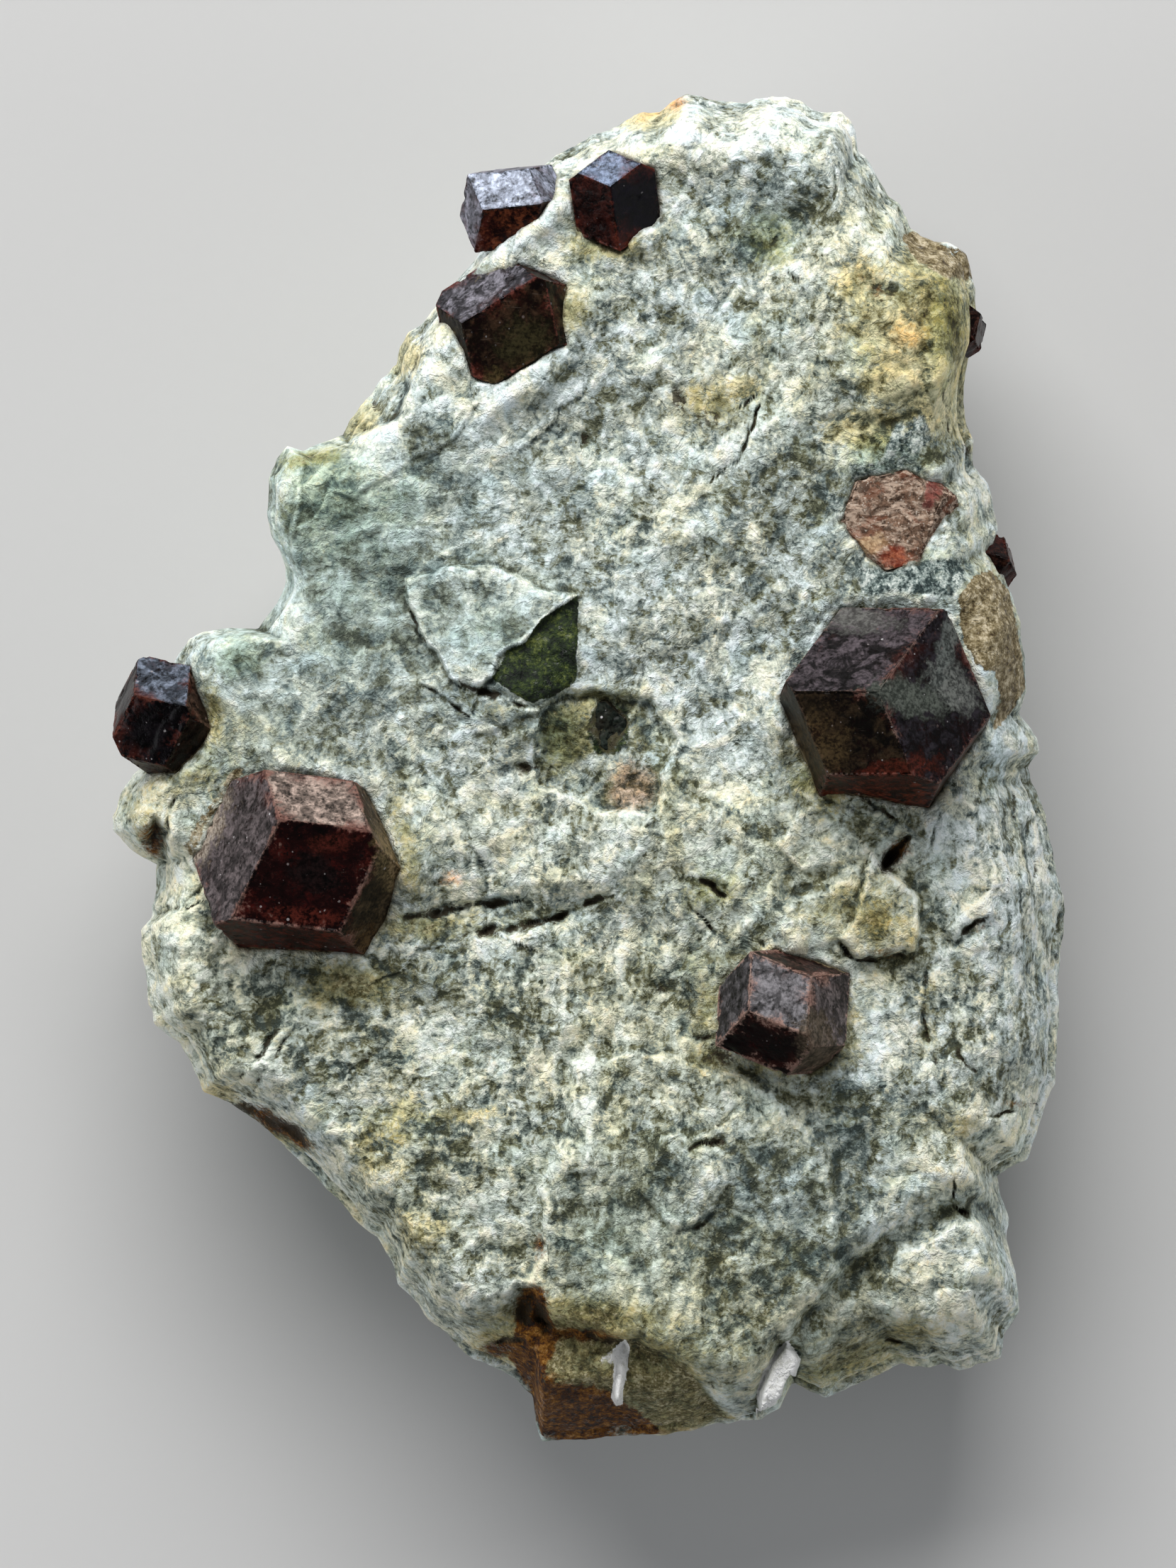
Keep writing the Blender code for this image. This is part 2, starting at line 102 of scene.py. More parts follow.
GARNETS = {
    "garnet_top_left": dict(
        at=(725, 292), z=20.3, turn=(53, -65, -1), r=3.2,
        faces={(1, 0, 1): 3.0, (1, 0, -1): 3.5, (-1, 0, 1): 3.4,
               (0, 1, 1): 3.5, (0, 1, -1): 2.9, (0, -1, 1): 3.0}),
    "garnet_top": dict(
        at=(869, 281), z=22.0, turn=(44, -37, 38), r=3.2,
        faces={(1, 1, 0): 3.8, (1, 0, 1): 2.9, (-1, 0, 1): 3.5,
               (0, 1, 1): 3.1, (0, -1, 1): 3.4}),
    "garnet_upper_left": dict(
        at=(728, 455), z=20.9, turn=(-1, -54, 68), r=4.4,
        faces={(1, 1, 0): 4.2, (1, -1, 0): 4.9, (-1, 1, 0): 4.35,
               (1, 0, 1): 4.2, (0, 1, 1): 5.2, (0, -1, 1): 4.5}),
    "garnet_left_edge": dict(
        at=(238, 1015), z=19.0, turn=(2, -69, 23), r=3.6,
        faces={(1, 0, 1): 3.4, (1, 0, -1): 3.3, (-1, 0, 1): 3.3,
               (0, 1, 1): 3.8, (0, 1, -1): 3.9, (0, -1, 1): 4.0}),
    "garnet_lower_left": dict(
        at=(438, 1223), z=23.0, turn=(14, -54, 18), r=6.3,
        faces={(1, 1, 0): 6.8, (1, -1, 0): 6.3, (-1, 1, 0): 8.0,
               (1, 0, 1): 5.6, (1, 0, -1): 6.3, (-1, 0, 1): 7.8,
               (0, 1, 1): 6.0, (0, 1, -1): 5.7, (0, -1, 1): 5.8}),
    "garnet_right": dict(
        at=(1241, 1005), z=23.4, turn=(41, -18, 57), r=6.7,
        faces={(1, -1, 0): 7.0, (1, 0, 1): 6.2, (1, 0, -1): 7.0,
               (-1, 0, 1): 6.5, (0, 1, 1): 7.6, (0, -1, 1): 7.0}),
    "garnet_lower_right": dict(
        at=(1107, 1427), z=24.3, turn=(73, -60, -45), r=4.2,
        faces={(1, 1, 0): 4.4, (1, -1, 0): 4.5, (1, 0, -1): 3.9,
               (0, 1, 1): 4.5, (0, 1, -1): 4.0, (0, -1, 1): 3.8}),
    "garnet_embedded_right": dict(
        at=(1264, 733), z=21.2, turn=(38, -4, 14), r=3.7, broken=1.8,
        faces={(0, 1, 1): 3.2, (0, -1, -1): 3.2, (0, 1, -1): 3.2,
               (1, 0, 1): 3.1, (-1, 1, 0): 4.2}),
    "garnet_embedded_centre": dict(
        at=(854, 1027), z=21.9, turn=(42, 5, 12), r=1.9, broken=1.5,
        faces={}),
    "garnet_side_upper": dict(
        at=(1347, 464), z=15.5, turn=(20, 30, 10), r=2.1, faces={}),
    "garnet_side_lower": dict(
        at=(1389, 796), z=14.0, turn=(10, 40, 25), r=2.2, faces={}),
}


# --------------------------------------------------------------------- noise
def bits(ix, iy, iz, seed):
    """Repeatable 32-bit number for a cell of a lattice."""
    h = (ix * 374761393 + iy * 668265263 + iz * 1274126177
         + seed * 974634777) & 0xFFFFFFFF
    h = ((h ^ (h >> 13)) * 1274126177) & 0xFFFFFFFF
    h = ((h ^ (h >> 16)) * 668265263) & 0xFFFFFFFF
    return (h ^ (h >> 15)) & 0xFFFFFFFF


def chance(ix, iy, iz, seed):
    return bits(ix, iy, iz, seed) / 4294967296.0


GRAD = np.array([(1, 1, 0), (-1, 1, 0), (1, -1, 0), (-1, -1, 0), (1, 0, 1),
                 (-1, 0, 1), (1, 0, -1), (-1, 0, -1), (0, 1, 1), (0, -1, 1),
                 (0, 1, -1), (0, -1, -1), (1, 1, 0), (-1, 1, 0), (0, -1, 1),
                 (0, -1, -1)], float)


def noise(x, y, z, size, seed=0):
    """Gradient noise of about -1 to 1 whose bumps are about size mm wide."""
    x, y = x / size, y / size
    z = np.full(x.shape, 0.37 + seed) if np.isscalar(z) else z / size
    ix, iy, iz = (np.floor(c).astype(np.int64) for c in (x, y, z))
    fx, fy, fz = x - ix, y - iy, z - iz
    ux, uy, uz = (f * f * f * (f * (f * 6 - 15) + 10) for f in (fx, fy, fz))
    out = np.zeros(x.shape)
    for dx in (0, 1):
        for dy in (0, 1):
            for dz in (0, 1):
                g = GRAD[bits(ix + dx, iy + dy, iz + dz, seed) & 15]
                dot = (g[..., 0] * (fx - dx) + g[..., 1] * (fy - dy)
                       + g[..., 2] * (fz - dz))
                out += (dot * (ux if dx else 1 - ux) * (uy if dy else 1 - uy)
                        * (uz if dz else 1 - uz))
    return out


def fbm(x, y, z, size, octaves, seed=0, gain=0.5):
    total, amp = 0.0, 1.0
    for k in range(octaves):
        total = total + amp * noise(x, y, z, size, seed + 17 * k)
        size /= 2.03
        amp *= gain
    return total


def facets(x, y, size, seed, step, tilt):
    """Broken surface of small flat pieces about size mm wide: each piece has
    its own height, up to step, and its own slope, up to tilt."""
    px, py = x / size, y / size
    ix, iy = np.floor(px).astype(np.int64), np.floor(py).astype(np.int64)
    best = np.full(x.shape, 1e9)
    near = [np.zeros(x.shape) for _ in range(5)]
    for dx in (-1, 0, 1):
        for dy in (-1, 0, 1):
            jx, jy = ix + dx, iy + dy
            qx = jx + 0.5 + (chance(jx, jy, 1, seed) - 0.5) * 0.95
            qy = jy + 0.5 + (chance(jx, jy, 2, seed) - 0.5) * 0.95
            d = (px - qx) ** 2 + (py - qy) ** 2
            closer = d < best
            best = np.where(closer, d, best)
            for k, new in enumerate((px - qx, py - qy,
                                     chance(jx, jy, 3, seed),
                                     chance(jx, jy, 4, seed),
                                     chance(jx, jy, 5, seed))):
                near[k] = np.where(closer, new, near[k])
    rx, ry, h1, h2, h3 = near
    return ((h1 - 0.5) * 2 * step
            + ((h2 - 0.5) * rx + (h3 - 0.5) * ry) * 2 * tilt * size)


def scoops(x, y, size, seed):
    """Broken surface of shallow scoops about size mm wide that meet in sharp
    ridges, about -0.3 to 0.3."""
    px, py = x / size, y / size
    ix, iy = np.floor(px).astype(np.int64), np.floor(py).astype(np.int64)
    low = np.full(x.shape, 1e9)
    for dx in (-1, 0, 1):
        for dy in (-1, 0, 1):
            jx, jy = ix + dx, iy + dy
            rx = px - (jx + 0.5 + (chance(jx, jy, 1, seed) - 0.5) * 0.9)
            ry = py - (jy + 0.5 + (chance(jx, jy, 2, seed) - 0.5) * 0.9)
            low = np.minimum(low, 0.30 * chance(jx, jy, 3, seed)
                             + 0.7 * (chance(jx, jy, 4, seed) - 0.5) * rx
                             + 0.7 * (chance(jx, jy, 5, seed) - 0.5) * ry
                             + 0.55 * (rx * rx + ry * ry))
    return low - 0.2


# ----------------------------------------------------------- plan of the rock
def place(u, v):
    return ((u - SHEET_U0) * SHEET, (SHEET_V0 - v) * SHEET)


def smooth(edge0, edge1, x):
    t = np.clip((x - edge0) / (edge1 - edge0), 0.0, 1.0)
    return t * t * (3.0 - 2.0 * t)


def bump(x, y, u, v, ru, rv, turn=0.0):
    """Round hill of height 1 at a sheet point."""
    cx, cy = place(u, v)
    a = math.radians(turn)
    dx, dy = x - cx, y - cy
    p = (dx * math.cos(a) + dy * math.sin(a)) / (ru * SHEET)
    q = (-dx * math.sin(a) + dy * math.cos(a)) / (rv * SHEET)
    return np.exp(-np.minimum(p * p + q * q, 60.0))


def polygon_distance(x, y, pts):
    """Signed distance in mm to a polygon given in mm, negative outside."""
    best = np.full(x.shape, 1e9)
    odd = np.zeros(x.shape, bool)
    for i in range(len(pts)):
        x0, y0 = pts[i]
        x1, y1 = pts[(i + 1) % len(pts)]
        ex, ey = x1 - x0, y1 - y0
        t = np.clip(((x - x0) * ex + (y - y0) * ey) / (ex * ex + ey * ey), 0, 1)
        best = np.minimum(best, np.hypot(x - x0 - t * ex, y - y0 - t * ey))
        odd ^= ((y0 > y) != (y1 > y)) & (
            x < x0 + (y - y0) * ex / (ey if ey else 1e-9))
    return np.where(odd, best, -best)


def inside(x, y, points, soft):
    """1 inside a sheet polygon, 0 outside, with an edge soft mm wide."""
    return smooth(-soft, soft,
                  polygon_distance(x, y, [place(u, v) for u, v in points]))


def ripple(x, y, z=0.0, size=8.0, seed=0.0):
    s = size
    return (np.sin(x / s * 2.1 + 1.7 * np.sin(y / s * 1.3 + seed) + z / s)
            + np.sin(y / s * 1.7 + 1.3 * np.sin(x / s * 1.9 - seed) + 2.0)
            + 0.6 * np.sin((x + y) / s * 3.1 + seed * 1.7 + z / s * 2)) / 2.6


def polar_outline():
    pts = np.array([place(u, v) for u, v in OUTLINE])
    dense = []
    for i in range(len(pts)):
        a, b = pts[i], pts[(i + 1) % len(pts)]
        for k in range(12):
            dense.append(a + (b - a) * k / 12.0)
    dense = np.array(dense)
    ang = np.arctan2(dense[:, 1], dense[:, 0])
    rad = np.hypot(dense[:, 0], dense[:, 1])
    order = np.argsort(ang)
    ang, rad = ang[order], rad[order]
    return (np.concatenate([ang - 2 * math.pi, ang, ang + 2 * math.pi]),
            np.concatenate([rad, rad, rad]))


EDGE_ANGLE, EDGE_RADIUS = polar_outline()


def edge_radius(angle):
    return np.interp(angle, EDGE_ANGLE, EDGE_RADIUS)


# Width and depth in mm of the front's roll-over at the edge, by direction.
ROLL = [(-180, 4.0, 4.5), (-150, 3.5, 5.0), (-120, 3.5, 6.0), (-95, 4.0, 7.0),
        (-70, 5.0, 7.0), (-50, 5.0, 6.0), (-25, 6.5, 8.0), (-2, 6.0, 7.0),
        (8, 4.5, 3.6), (14, 3.5, 2.6), (24, 3.5, 2.8), (32, 5.0, 6.0),
        (50, 4.0, 5.0), (75, 4.0, 5.0), (92, 4.5, 5.0), (97, 3.5, 1.6),
        (104, 3.0, 1.6), (110, 3.0, 3.5), (120, 3.5, 5.0), (127, 2.6, 3.2),
        (133, 1.6, 1.6), (152, 1.5, 1.5), (158, 2.2, 2.6), (166, 3.5, 4.5),
        (180, 4.0, 4.5)]


def roll(angle, gap):
    deg = np.degrees(angle)
    width = np.interp(deg, [r[0] for r in ROLL], [r[1] for r in ROLL])
    drop = np.interp(deg, [r[0] for r in ROLL], [r[2] for r in ROLL])
    t = np.clip(1.0 - gap / width, 0.0, 1.0)
    return drop * t ** 2.2


# Banks of rock against the crystals: sheet point, half sizes, turn, rise in mm.
BANKS = [(1185, 1100, 115, 30, -40, 1.7), (1100, 1005, 24, 70, 0, 1.2),
         (1262, 838, 110, 24, 4, 1.0), (1395, 930, 30, 90, -12, 1.2),
         (806, 450, 36, 60, -20, 1.2), (735, 552, 70, 24, 35, 1.0),
         (755, 318, 50, 20, 40, 0.9), (578, 1225, 32, 80, 0, 1.8),
         (450, 1086, 90, 22, -16, 1.0), (895, 345, 50, 20, 30, 0.8)]


def front(x, y):
    """General height of the crystal face of the rock, in mm."""
    h = np.full(x.shape, FRONT_LEVEL)
    h -= 2.2 * ((y - 2.0) / 50.0) ** 2 + 1.6 * (x / 34.0) ** 2
    h += 0.45 * ripple(x, y, 0.0, 9.0, 0.7)
    h += 1.3 * bump(x, y, 1060, 215, 150, 60, -10)
    h -= 1.1 * bump(x, y, 1090, 335, 70, 40, 40)
    h += 2.0 * bump(x, y, 1270, 450, 95, 120, 0)
    h += 0.8 * bump(x, y, 1180, 560, 80, 50, 20)
    h -= 0.9 * bump(x, y, 560, 780, 170, 90, 20)
    h += 0.4 * bump(x, y, 1250, 1000, 190, 190)
    h += 0.4 * bump(x, y, 1105, 1440, 130, 120)
    h += 0.2 * bump(x, y, 700, 440, 110, 110)
    h -= 1.0 * bump(x, y, 700, 1285, 150, 26)
    h += 0.8 * bump(x, y, 900, 1180, 200, 90)
    h -= 2.3 * bump(x, y, 320, 1210, 120, 190)
    # the rock climbs a little against the crystals
    for u, v, ru, rv, turn, rise in BANKS:
        h += rise * bump(x, y, u, v, ru, rv, turn)
    return h


# ------------------------------------------- breaks, cracks and ridges by name
# Raised or sunken areas: corners, height in mm, width of the edge in mm.
PLATES = [
    # broken plate in the middle, its far side running out into the rock
    ([(569, 819), (640, 799), (700, 800), (774, 838), (814, 842), (784, 860),
      (753, 896), (702, 927), (697, 955), (677, 976), (636, 952), (605, 911),
      (574, 845)], 0.95, 0.20),
    # dark end face of that plate, sloping down
    ([(697, 952), (702, 925), (753, 894), (784, 858), (816, 840), (819, 881),
      (812, 952), (794, 978), (748, 988), (707, 972)], 0.45, 0.30),
    # lower plate under it
    ([(595, 962), (636, 993), (677, 1039), (760, 1000), (738, 990),
      (677, 976), (620, 940)], 0.35, 0.2),
    # cast left by a crystal
    ([(762, 1000), (800, 978), (845, 980), (918, 990), (950, 1040),
      (930, 1100), (924, 1146), (850, 1146), (785, 1105), (759, 1110)],
     -0.95, 0.35),
    # triangular plate low on the right and the facets beside it
    ([(1230, 1203), (1294, 1272), (1293, 1341), (1208, 1353), (1186, 1321),
      (1206, 1286)], 1.15, 0.25),
    ([(1087, 1290), (1150, 1255), (1186, 1241), (1222, 1208), (1206, 1286),
      (1186, 1321), (1120, 1345)], 0.45, 0.4),
    # facets above it
    ([(1092, 1192), (1141, 1232), (1222, 1205), (1240, 1150), (1154, 1130),
      (1110, 1150)], 0.4, 0.3),
    # lobe, lower right
    ([(1065, 1960), (1111, 1879), (1180, 1787), (1237, 1747), (1300, 1709),
      (1341, 1684), (1480, 1680), (1500, 2010), (1100, 2060)], -2.2, 1.5),
    ([(1240, 1800), (1300, 1745), (1350, 1720), (1425, 1718), (1441, 1852),
      (1413, 1920), (1330, 1895), (1262, 1868)], 0.9, 0.8),
    # ledge along the bottom
    ([(640, 1870), (735, 1826), (775, 1868), (872, 1893), (900, 1893),
      (985, 1938), (1025, 1990), (1060, 2080), (700, 2090), (600, 1960)],
     -2.0, 1.0),
    ([(730, 1950), (774, 1957), (860, 1950), (880, 1983), (892, 1998),
      (896, 2080), (720, 2080)], -1.0, 0.5),
    # slab that ends there
    ([(764, 1676), (775, 1765), (745, 1812), (765, 1862), (893, 1890),
      (985, 1936), (1065, 1960), (1111, 1879), (1184, 1790), (1170, 1620),
      (1060, 1520), (900, 1480), (812, 1500), (800, 1600)], 0.8, 0.5),
    # raised lip on the slab
    ([(950, 1738), (1008, 1706), (1030, 1660), (1000, 1600), (930, 1600),
      (905, 1680)], 0.4, 0.25),
    # left lobe: hollow through which the dark inside shows
    ([(188, 1199), (205, 1178), (216, 1158), (236, 1172), (232, 1215),
      (205, 1225)], -2.6, 0.4),
    # thin plates along the left edge
    ([(370, 640), (407, 626), (470, 620), (455, 660), (420, 690), (405, 760),
      (415, 830), (370, 860), (360, 700)], -0.55, 0.18),
    ([(470, 600), (520, 530), (585, 440), (600, 470), (576, 540), (556, 594),
      (490, 622)], -1.5, 0.18),
    ([(436, 640), (470, 628), (505, 640), (470, 680), (440, 730), (420, 742),
      (424, 690)], -0.35, 0.15),
    ([(560, 590), (620, 560), (680, 566), (640, 620), (560, 660), (500, 700),
      (470, 690), (510, 640)], 0.30, 0.15),
    # step in front of the lower right crystal and long layers on the right
    ([(1337, 1308), (1395, 1259), (1400, 1290), (1391, 1300), (1345, 1325)],
     0.8, 0.25),
    ([(1404, 1100), (1440, 1090), (1480, 1172), (1504, 1285), (1490, 1420),
      (1450, 1400), (1440, 1300), (1415, 1200)], -0.7, 0.3),
    ([(1440, 1180), (1466, 1150), (1510, 1285), (1490, 1400), (1470, 1320)],
     -0.8, 0.2),
    # white fins at the bottom
    ([(838, 1918), (868, 1900), (866, 1952), (850, 1948)], 0.7, 0.3),
]

# White flakes that stand out at the bottom: corners, level in mm.
FINS = [
    ([(1068, 2006), (1074, 1966), (1090, 1925), (1110, 1896), (1128, 1918),
      (1120, 1950), (1100, 1992)], 20.6),
    ([(868, 1905), (880, 1893), (885, 1900), (880, 1940), (876, 1978),
      (870, 1984), (866, 1972), (872, 1936)], 20.2),
]

# Dark cracks: sheet points, width and depth in mm, how dark their painted shade is.
CRACKS = [
    ([(569, 826), (574, 848), (588, 880), (605, 912)], .11, .3, .8),
    ([(605, 912), (636, 954), (677, 980)], .07, .15, .4),
    ([(404, 634), (440, 626), (480, 618), (520, 604), (548, 596)],
     .10, .25, .6),
    ([(652, 958), (697, 982), (738, 996), (757, 992)], .30, .7, 1.0),
    ([(595, 962), (620, 980), (636, 993), (660, 1015), (677, 1039)],
     .15, .45, .9),
    ([(570, 1294), (610, 1292), (667, 1280), (700, 1272), (735, 1271)],
     .38, .8, 1.0),
    ([(652, 1322), (690, 1312), (731, 1308), (770, 1298), (800, 1290),
      (830, 1276), (862, 1262)], .42, .9, 1.1),
    ([(1069, 571), (1062, 600), (1042, 642), (1022, 660), (1003, 682)],
     .17, .7, 1.0),
    ([(1078, 548), (1060, 565), (1040, 575)], .14, .4, .8),
    ([(1327, 548), (1332, 575), (1340, 605)], .15, .5, .9),
    ([(1244, 1225), (1262, 1200), (1282, 1180)], .55, 1.9, 1.3),
    ([(1209, 1356), (1250, 1349), (1298, 1337)], .2, .7, 1.1),
    ([(1186, 1326), (1195, 1345), (1212, 1357)], .3, .7, 1.0),
    ([(1382, 1576), (1425, 1568), (1467, 1557)], .18, .8, 1.1),
    ([(1342, 1322), (1368, 1308), (1392, 1296)], .28, .9, 1.1),
    ([(1357, 1622), (1350, 1650), (1345, 1686)], .17, .7, 1.0),
    ([(1350, 1700), (1367, 1716), (1390, 1724), (1412, 1727)], .22, .8, 1.1),
    ([(1249, 1889), (1270, 1896), (1302, 1903)], .22, .8, 1.0),
    ([(950, 1745), (975, 1733), (1008, 1713)], .24, .6, 1.0),
    ([(740, 1822), (752, 1838), (760, 1860), (775, 1874)], .5, 1.5, 1.3),
    ([(755, 1878), (790, 1885), (830, 1888), (880, 1890)], .3, .8, 1.0),
    ([(893, 1890), (940, 1912), (985, 1936), (1010, 1965)], .16, .4, .6),
    ([(313, 1556), (350, 1570), (373, 1580), (428, 1603), (437, 1627)],
     .55, 1.6, 1.3),
    ([(324, 1546), (350, 1510), (382, 1470), (395, 1450)], .22, .5, .9),
    ([(345, 1552), (372, 1515), (400, 1478), (419, 1445)], .2, .4, .8),
    ([(256, 1285), (240, 1262), (232, 1240)], .16, .4, .7),
    ([(286, 1268), (262, 1285), (235, 1280)], .14, .35, .7),
    ([(300, 1240), (280, 1255), (262, 1262)], .13, .3, .6),
    ([(988, 1240), (1005, 1252), (1022, 1266)], .4, .7, 1.0),
    ([(965, 1268), (990, 1290), (1012, 1318)], .2, .5, .8),
    ([(1038, 1347), (1048, 1336), (1062, 1322)], .2, .7, 1.1),
    ([(1053, 1315), (1066, 1324), (1078, 1334)], .12, .4, .9),
    ([(962, 1458), (982, 1462), (1003, 1462)], .17, .5, 1.0),
    ([(1316, 1335), (1302, 1400), (1310, 1470), (1325, 1540)], .3, .45, .7),
    ([(1340, 1455), (1355, 1490), (1380, 1520)], .18, .4, .8),
    ([(1460, 1170), (1462, 1215), (1458, 1262)], .16, .5, .9),
    ([(1425, 1105), (1437, 1150), (1440, 1190)], .16, .4, .7),
    ([(1325, 1150), (1315, 1185), (1305, 1215)], .2, .4, .7),
    ([(758, 983), (757, 1030), (758, 1085), (762, 1112)], .14, .4, .5),
    ([(728, 1080), (745, 1086), (760, 1082)], .3, .5, .9),
    ([(970, 1620), (990, 1612), (1012, 1610)], .2, .4, .9),
    ([(1008, 1588), (1030, 1570), (1052, 1550)], .25, .4, .8),
    ([(700, 1895), (720, 1890), (742, 1894)], .35, 1.0, 1.2),
    ([(1070, 1120), (1090, 1135), (1110, 1148)], .2, .4, .7),
    ([(1212, 1120), (1235, 1140), (1262, 1158)], .3, .5, .9),
    ([(893, 735), (915, 720), (935, 712)], .2, .3, .7),
    ([(1140, 1100), (1180, 1130), (1215, 1150)], .2, .35, .6),
    ([(1040, 395), (1015, 430), (1002, 460)], .2, .3, .5),
    ([(1105, 380), (1128, 410), (1140, 430)], .2, .35, .6),
    ([(1176, 240), (1180, 262), (1178, 285)], .18, .35, .6),
    ([(250, 1120), (235, 1150), (232, 1180)], .25, .6, .9),
]

# Pale crests and veins: sheet points, width and height in mm, how white.
CRESTS = [
    ([(1138, 522), (1112, 560), (1092, 592), (1072, 608)], .35, .35, 1.0),
    ([(1092, 1192), (1118, 1210), (1141, 1232)], .2, .5, 1.0),
    ([(1119, 1112), (1138, 1124), (1154, 1134)], .2, .35, .8),
    ([(1230, 1203), (1262, 1238), (1293, 1272)], .22, .35, .9),
    ([(764, 1676), (770, 1720), (771, 1765), (755, 1795), (739, 1819)],
     .4, .7, .9),
    ([(752, 1640), (760, 1670), (772, 1720)], .4, .4, .7),
    ([(893, 1890), (940, 1908), (985, 1934), (1014, 1975)], .22, .5, .7),
    ([(1341, 1684), (1300, 1707), (1237, 1745), (1180, 1785), (1111, 1877),
      (1067, 1957)], .3, .45, .75),
    ([(1358, 1612), (1352, 1650), (1341, 1684)], .25, .35, .8),
    ([(336, 1544), (360, 1505), (382, 1475), (419, 1439)], .22, .5, .6),
    ([(452, 753), (520, 742), (590, 738), (656, 728)], .16, .12, .6),
    ([(580, 819), (600, 796), (636, 779), (707, 733)], .16, .15, .6),
    ([(804, 830), (835, 795), (860, 768), (901, 722)], .18, .15, .6),
    ([(640, 799), (690, 770), (740, 745), (760, 720)], .15, .12, .5),
    ([(570, 838), (605, 908), (636, 950), (677, 974)], .14, .2, .9),
    ([(702, 925), (753, 892), (784, 856), (815, 840)], .18, .15, .7),
    ([(420, 690), (470, 672), (540, 668), (600, 690)], .16, .12, .5),
    ([(430, 790), (470, 760), (520, 742)], .15, .1, .5),
    ([(370, 650), (366, 720), (380, 760), (404, 800), (404, 830)],
     .2, .3, .9),
    ([(404, 632), (440, 640), (485, 620)], .2, .3, .9),
    ([(1337, 1306), (1365, 1285), (1393, 1262)], .3, .3, 1.0),
    ([(262, 1205), (300, 1270), (350, 1347)], .22, .4, .7),
    ([(1404, 1100), (1410, 1150), (1420, 1220), (1440, 1300)], .3, .3, .7),
    ([(1300, 1380), (1290, 1450), (1320, 1540)], .3, .25, .4),
    ([(880, 1340), (868, 1400), (835, 1480), (828, 1560), (815, 1640)],
     .5, .2, .7),
    ([(1385, 960), (1398, 1000), (1390, 1040)], .25, .3, .8),
    ([(1360, 775), (1400, 850), (1430, 930), (1436, 980)], .35, .35, .2),
    ([(610, 1290), (670, 1268), (730, 1258), (790, 1262)], .3, .3, .5),
    ([(657, 1332), (731, 1322), (800, 1306), (850, 1288)], .25, .25, .6),
    ([(758, 985), (800, 968), (850, 966), (915, 975)], .22, .2, .6),
    ([(1072, 1350), (1150, 1342), (1175, 1365), (1190, 1390)], .35, .3, .9),
]

# Small hollows: sheet point, half sizes, turn, depth in mm, how dark their painted shade is.
PITS = [
    (822, 619, 9, 9, 0, .45, 1.0), (531, 566, 9, 15, 20, .9, .9),
    (1345, 470, 8, 40, 10, .5, .6), (1302, 440, 8, 24, -20, .4, .6),
    (1255, 408, 22, 12, -30, .35, .5), (1215, 470, 20, 16, 0, .35, .3),
    (1262, 590, 24, 9, 10, .35, .4), (1256, 1215, 17, 24, -35, .9, 1.1),
    (956, 562, 14, 24, 20, .3, .9), (1000, 590, 34, 22, 40, .25, .6),
    (1245, 410, 24, 20, 20, .35, .6), (1205, 556, 30, 16, 0, .3, .1),
    (742, 1084, 17, 10, 20, .45, .9), (1100, 1478, 34, 20, 0, .5, .9),
    (1020, 1490, 16, 26, 30, .35, .9), (905, 1300, 20, 40, 20, .3, .4),
    (1010, 1610, 16, 10, 20, .4, .9), (1200, 1010, 8, 8, 0, .1, .2),
    (300, 1400, 18, 10, 40, .25, .5), (610, 1245, 16, 10, 0, .3, .6),
    (855, 1335, 14, 22, 0, .3, .6), (1290, 1655, 14, 10, 0, .3, .6),
    (930, 1395, 18, 12, 0, .25, .6), (1150, 1180, 20, 14, 0, .2, .3),
    (740, 1850, 14, 22, 0, .8, 1.1), (1068, 1250, 18, 12, 30, .3, .7),
    (1366, 628, 10, 20, 0, .4, .8), (1140, 450, 14, 12, 0, .2, .5),
    (770, 930, 40, 16, 40, .25, .2), (515, 1495, 16, 16, 0, .25, .6),
    (1395, 560, 14, 40, 0, .3, .3), (980, 200, 14, 12, 0, .2, .4),
    (1030, 320, 10, 10, 0, .2, .6), (940, 240, 12, 9, 0, .2, .5),
]

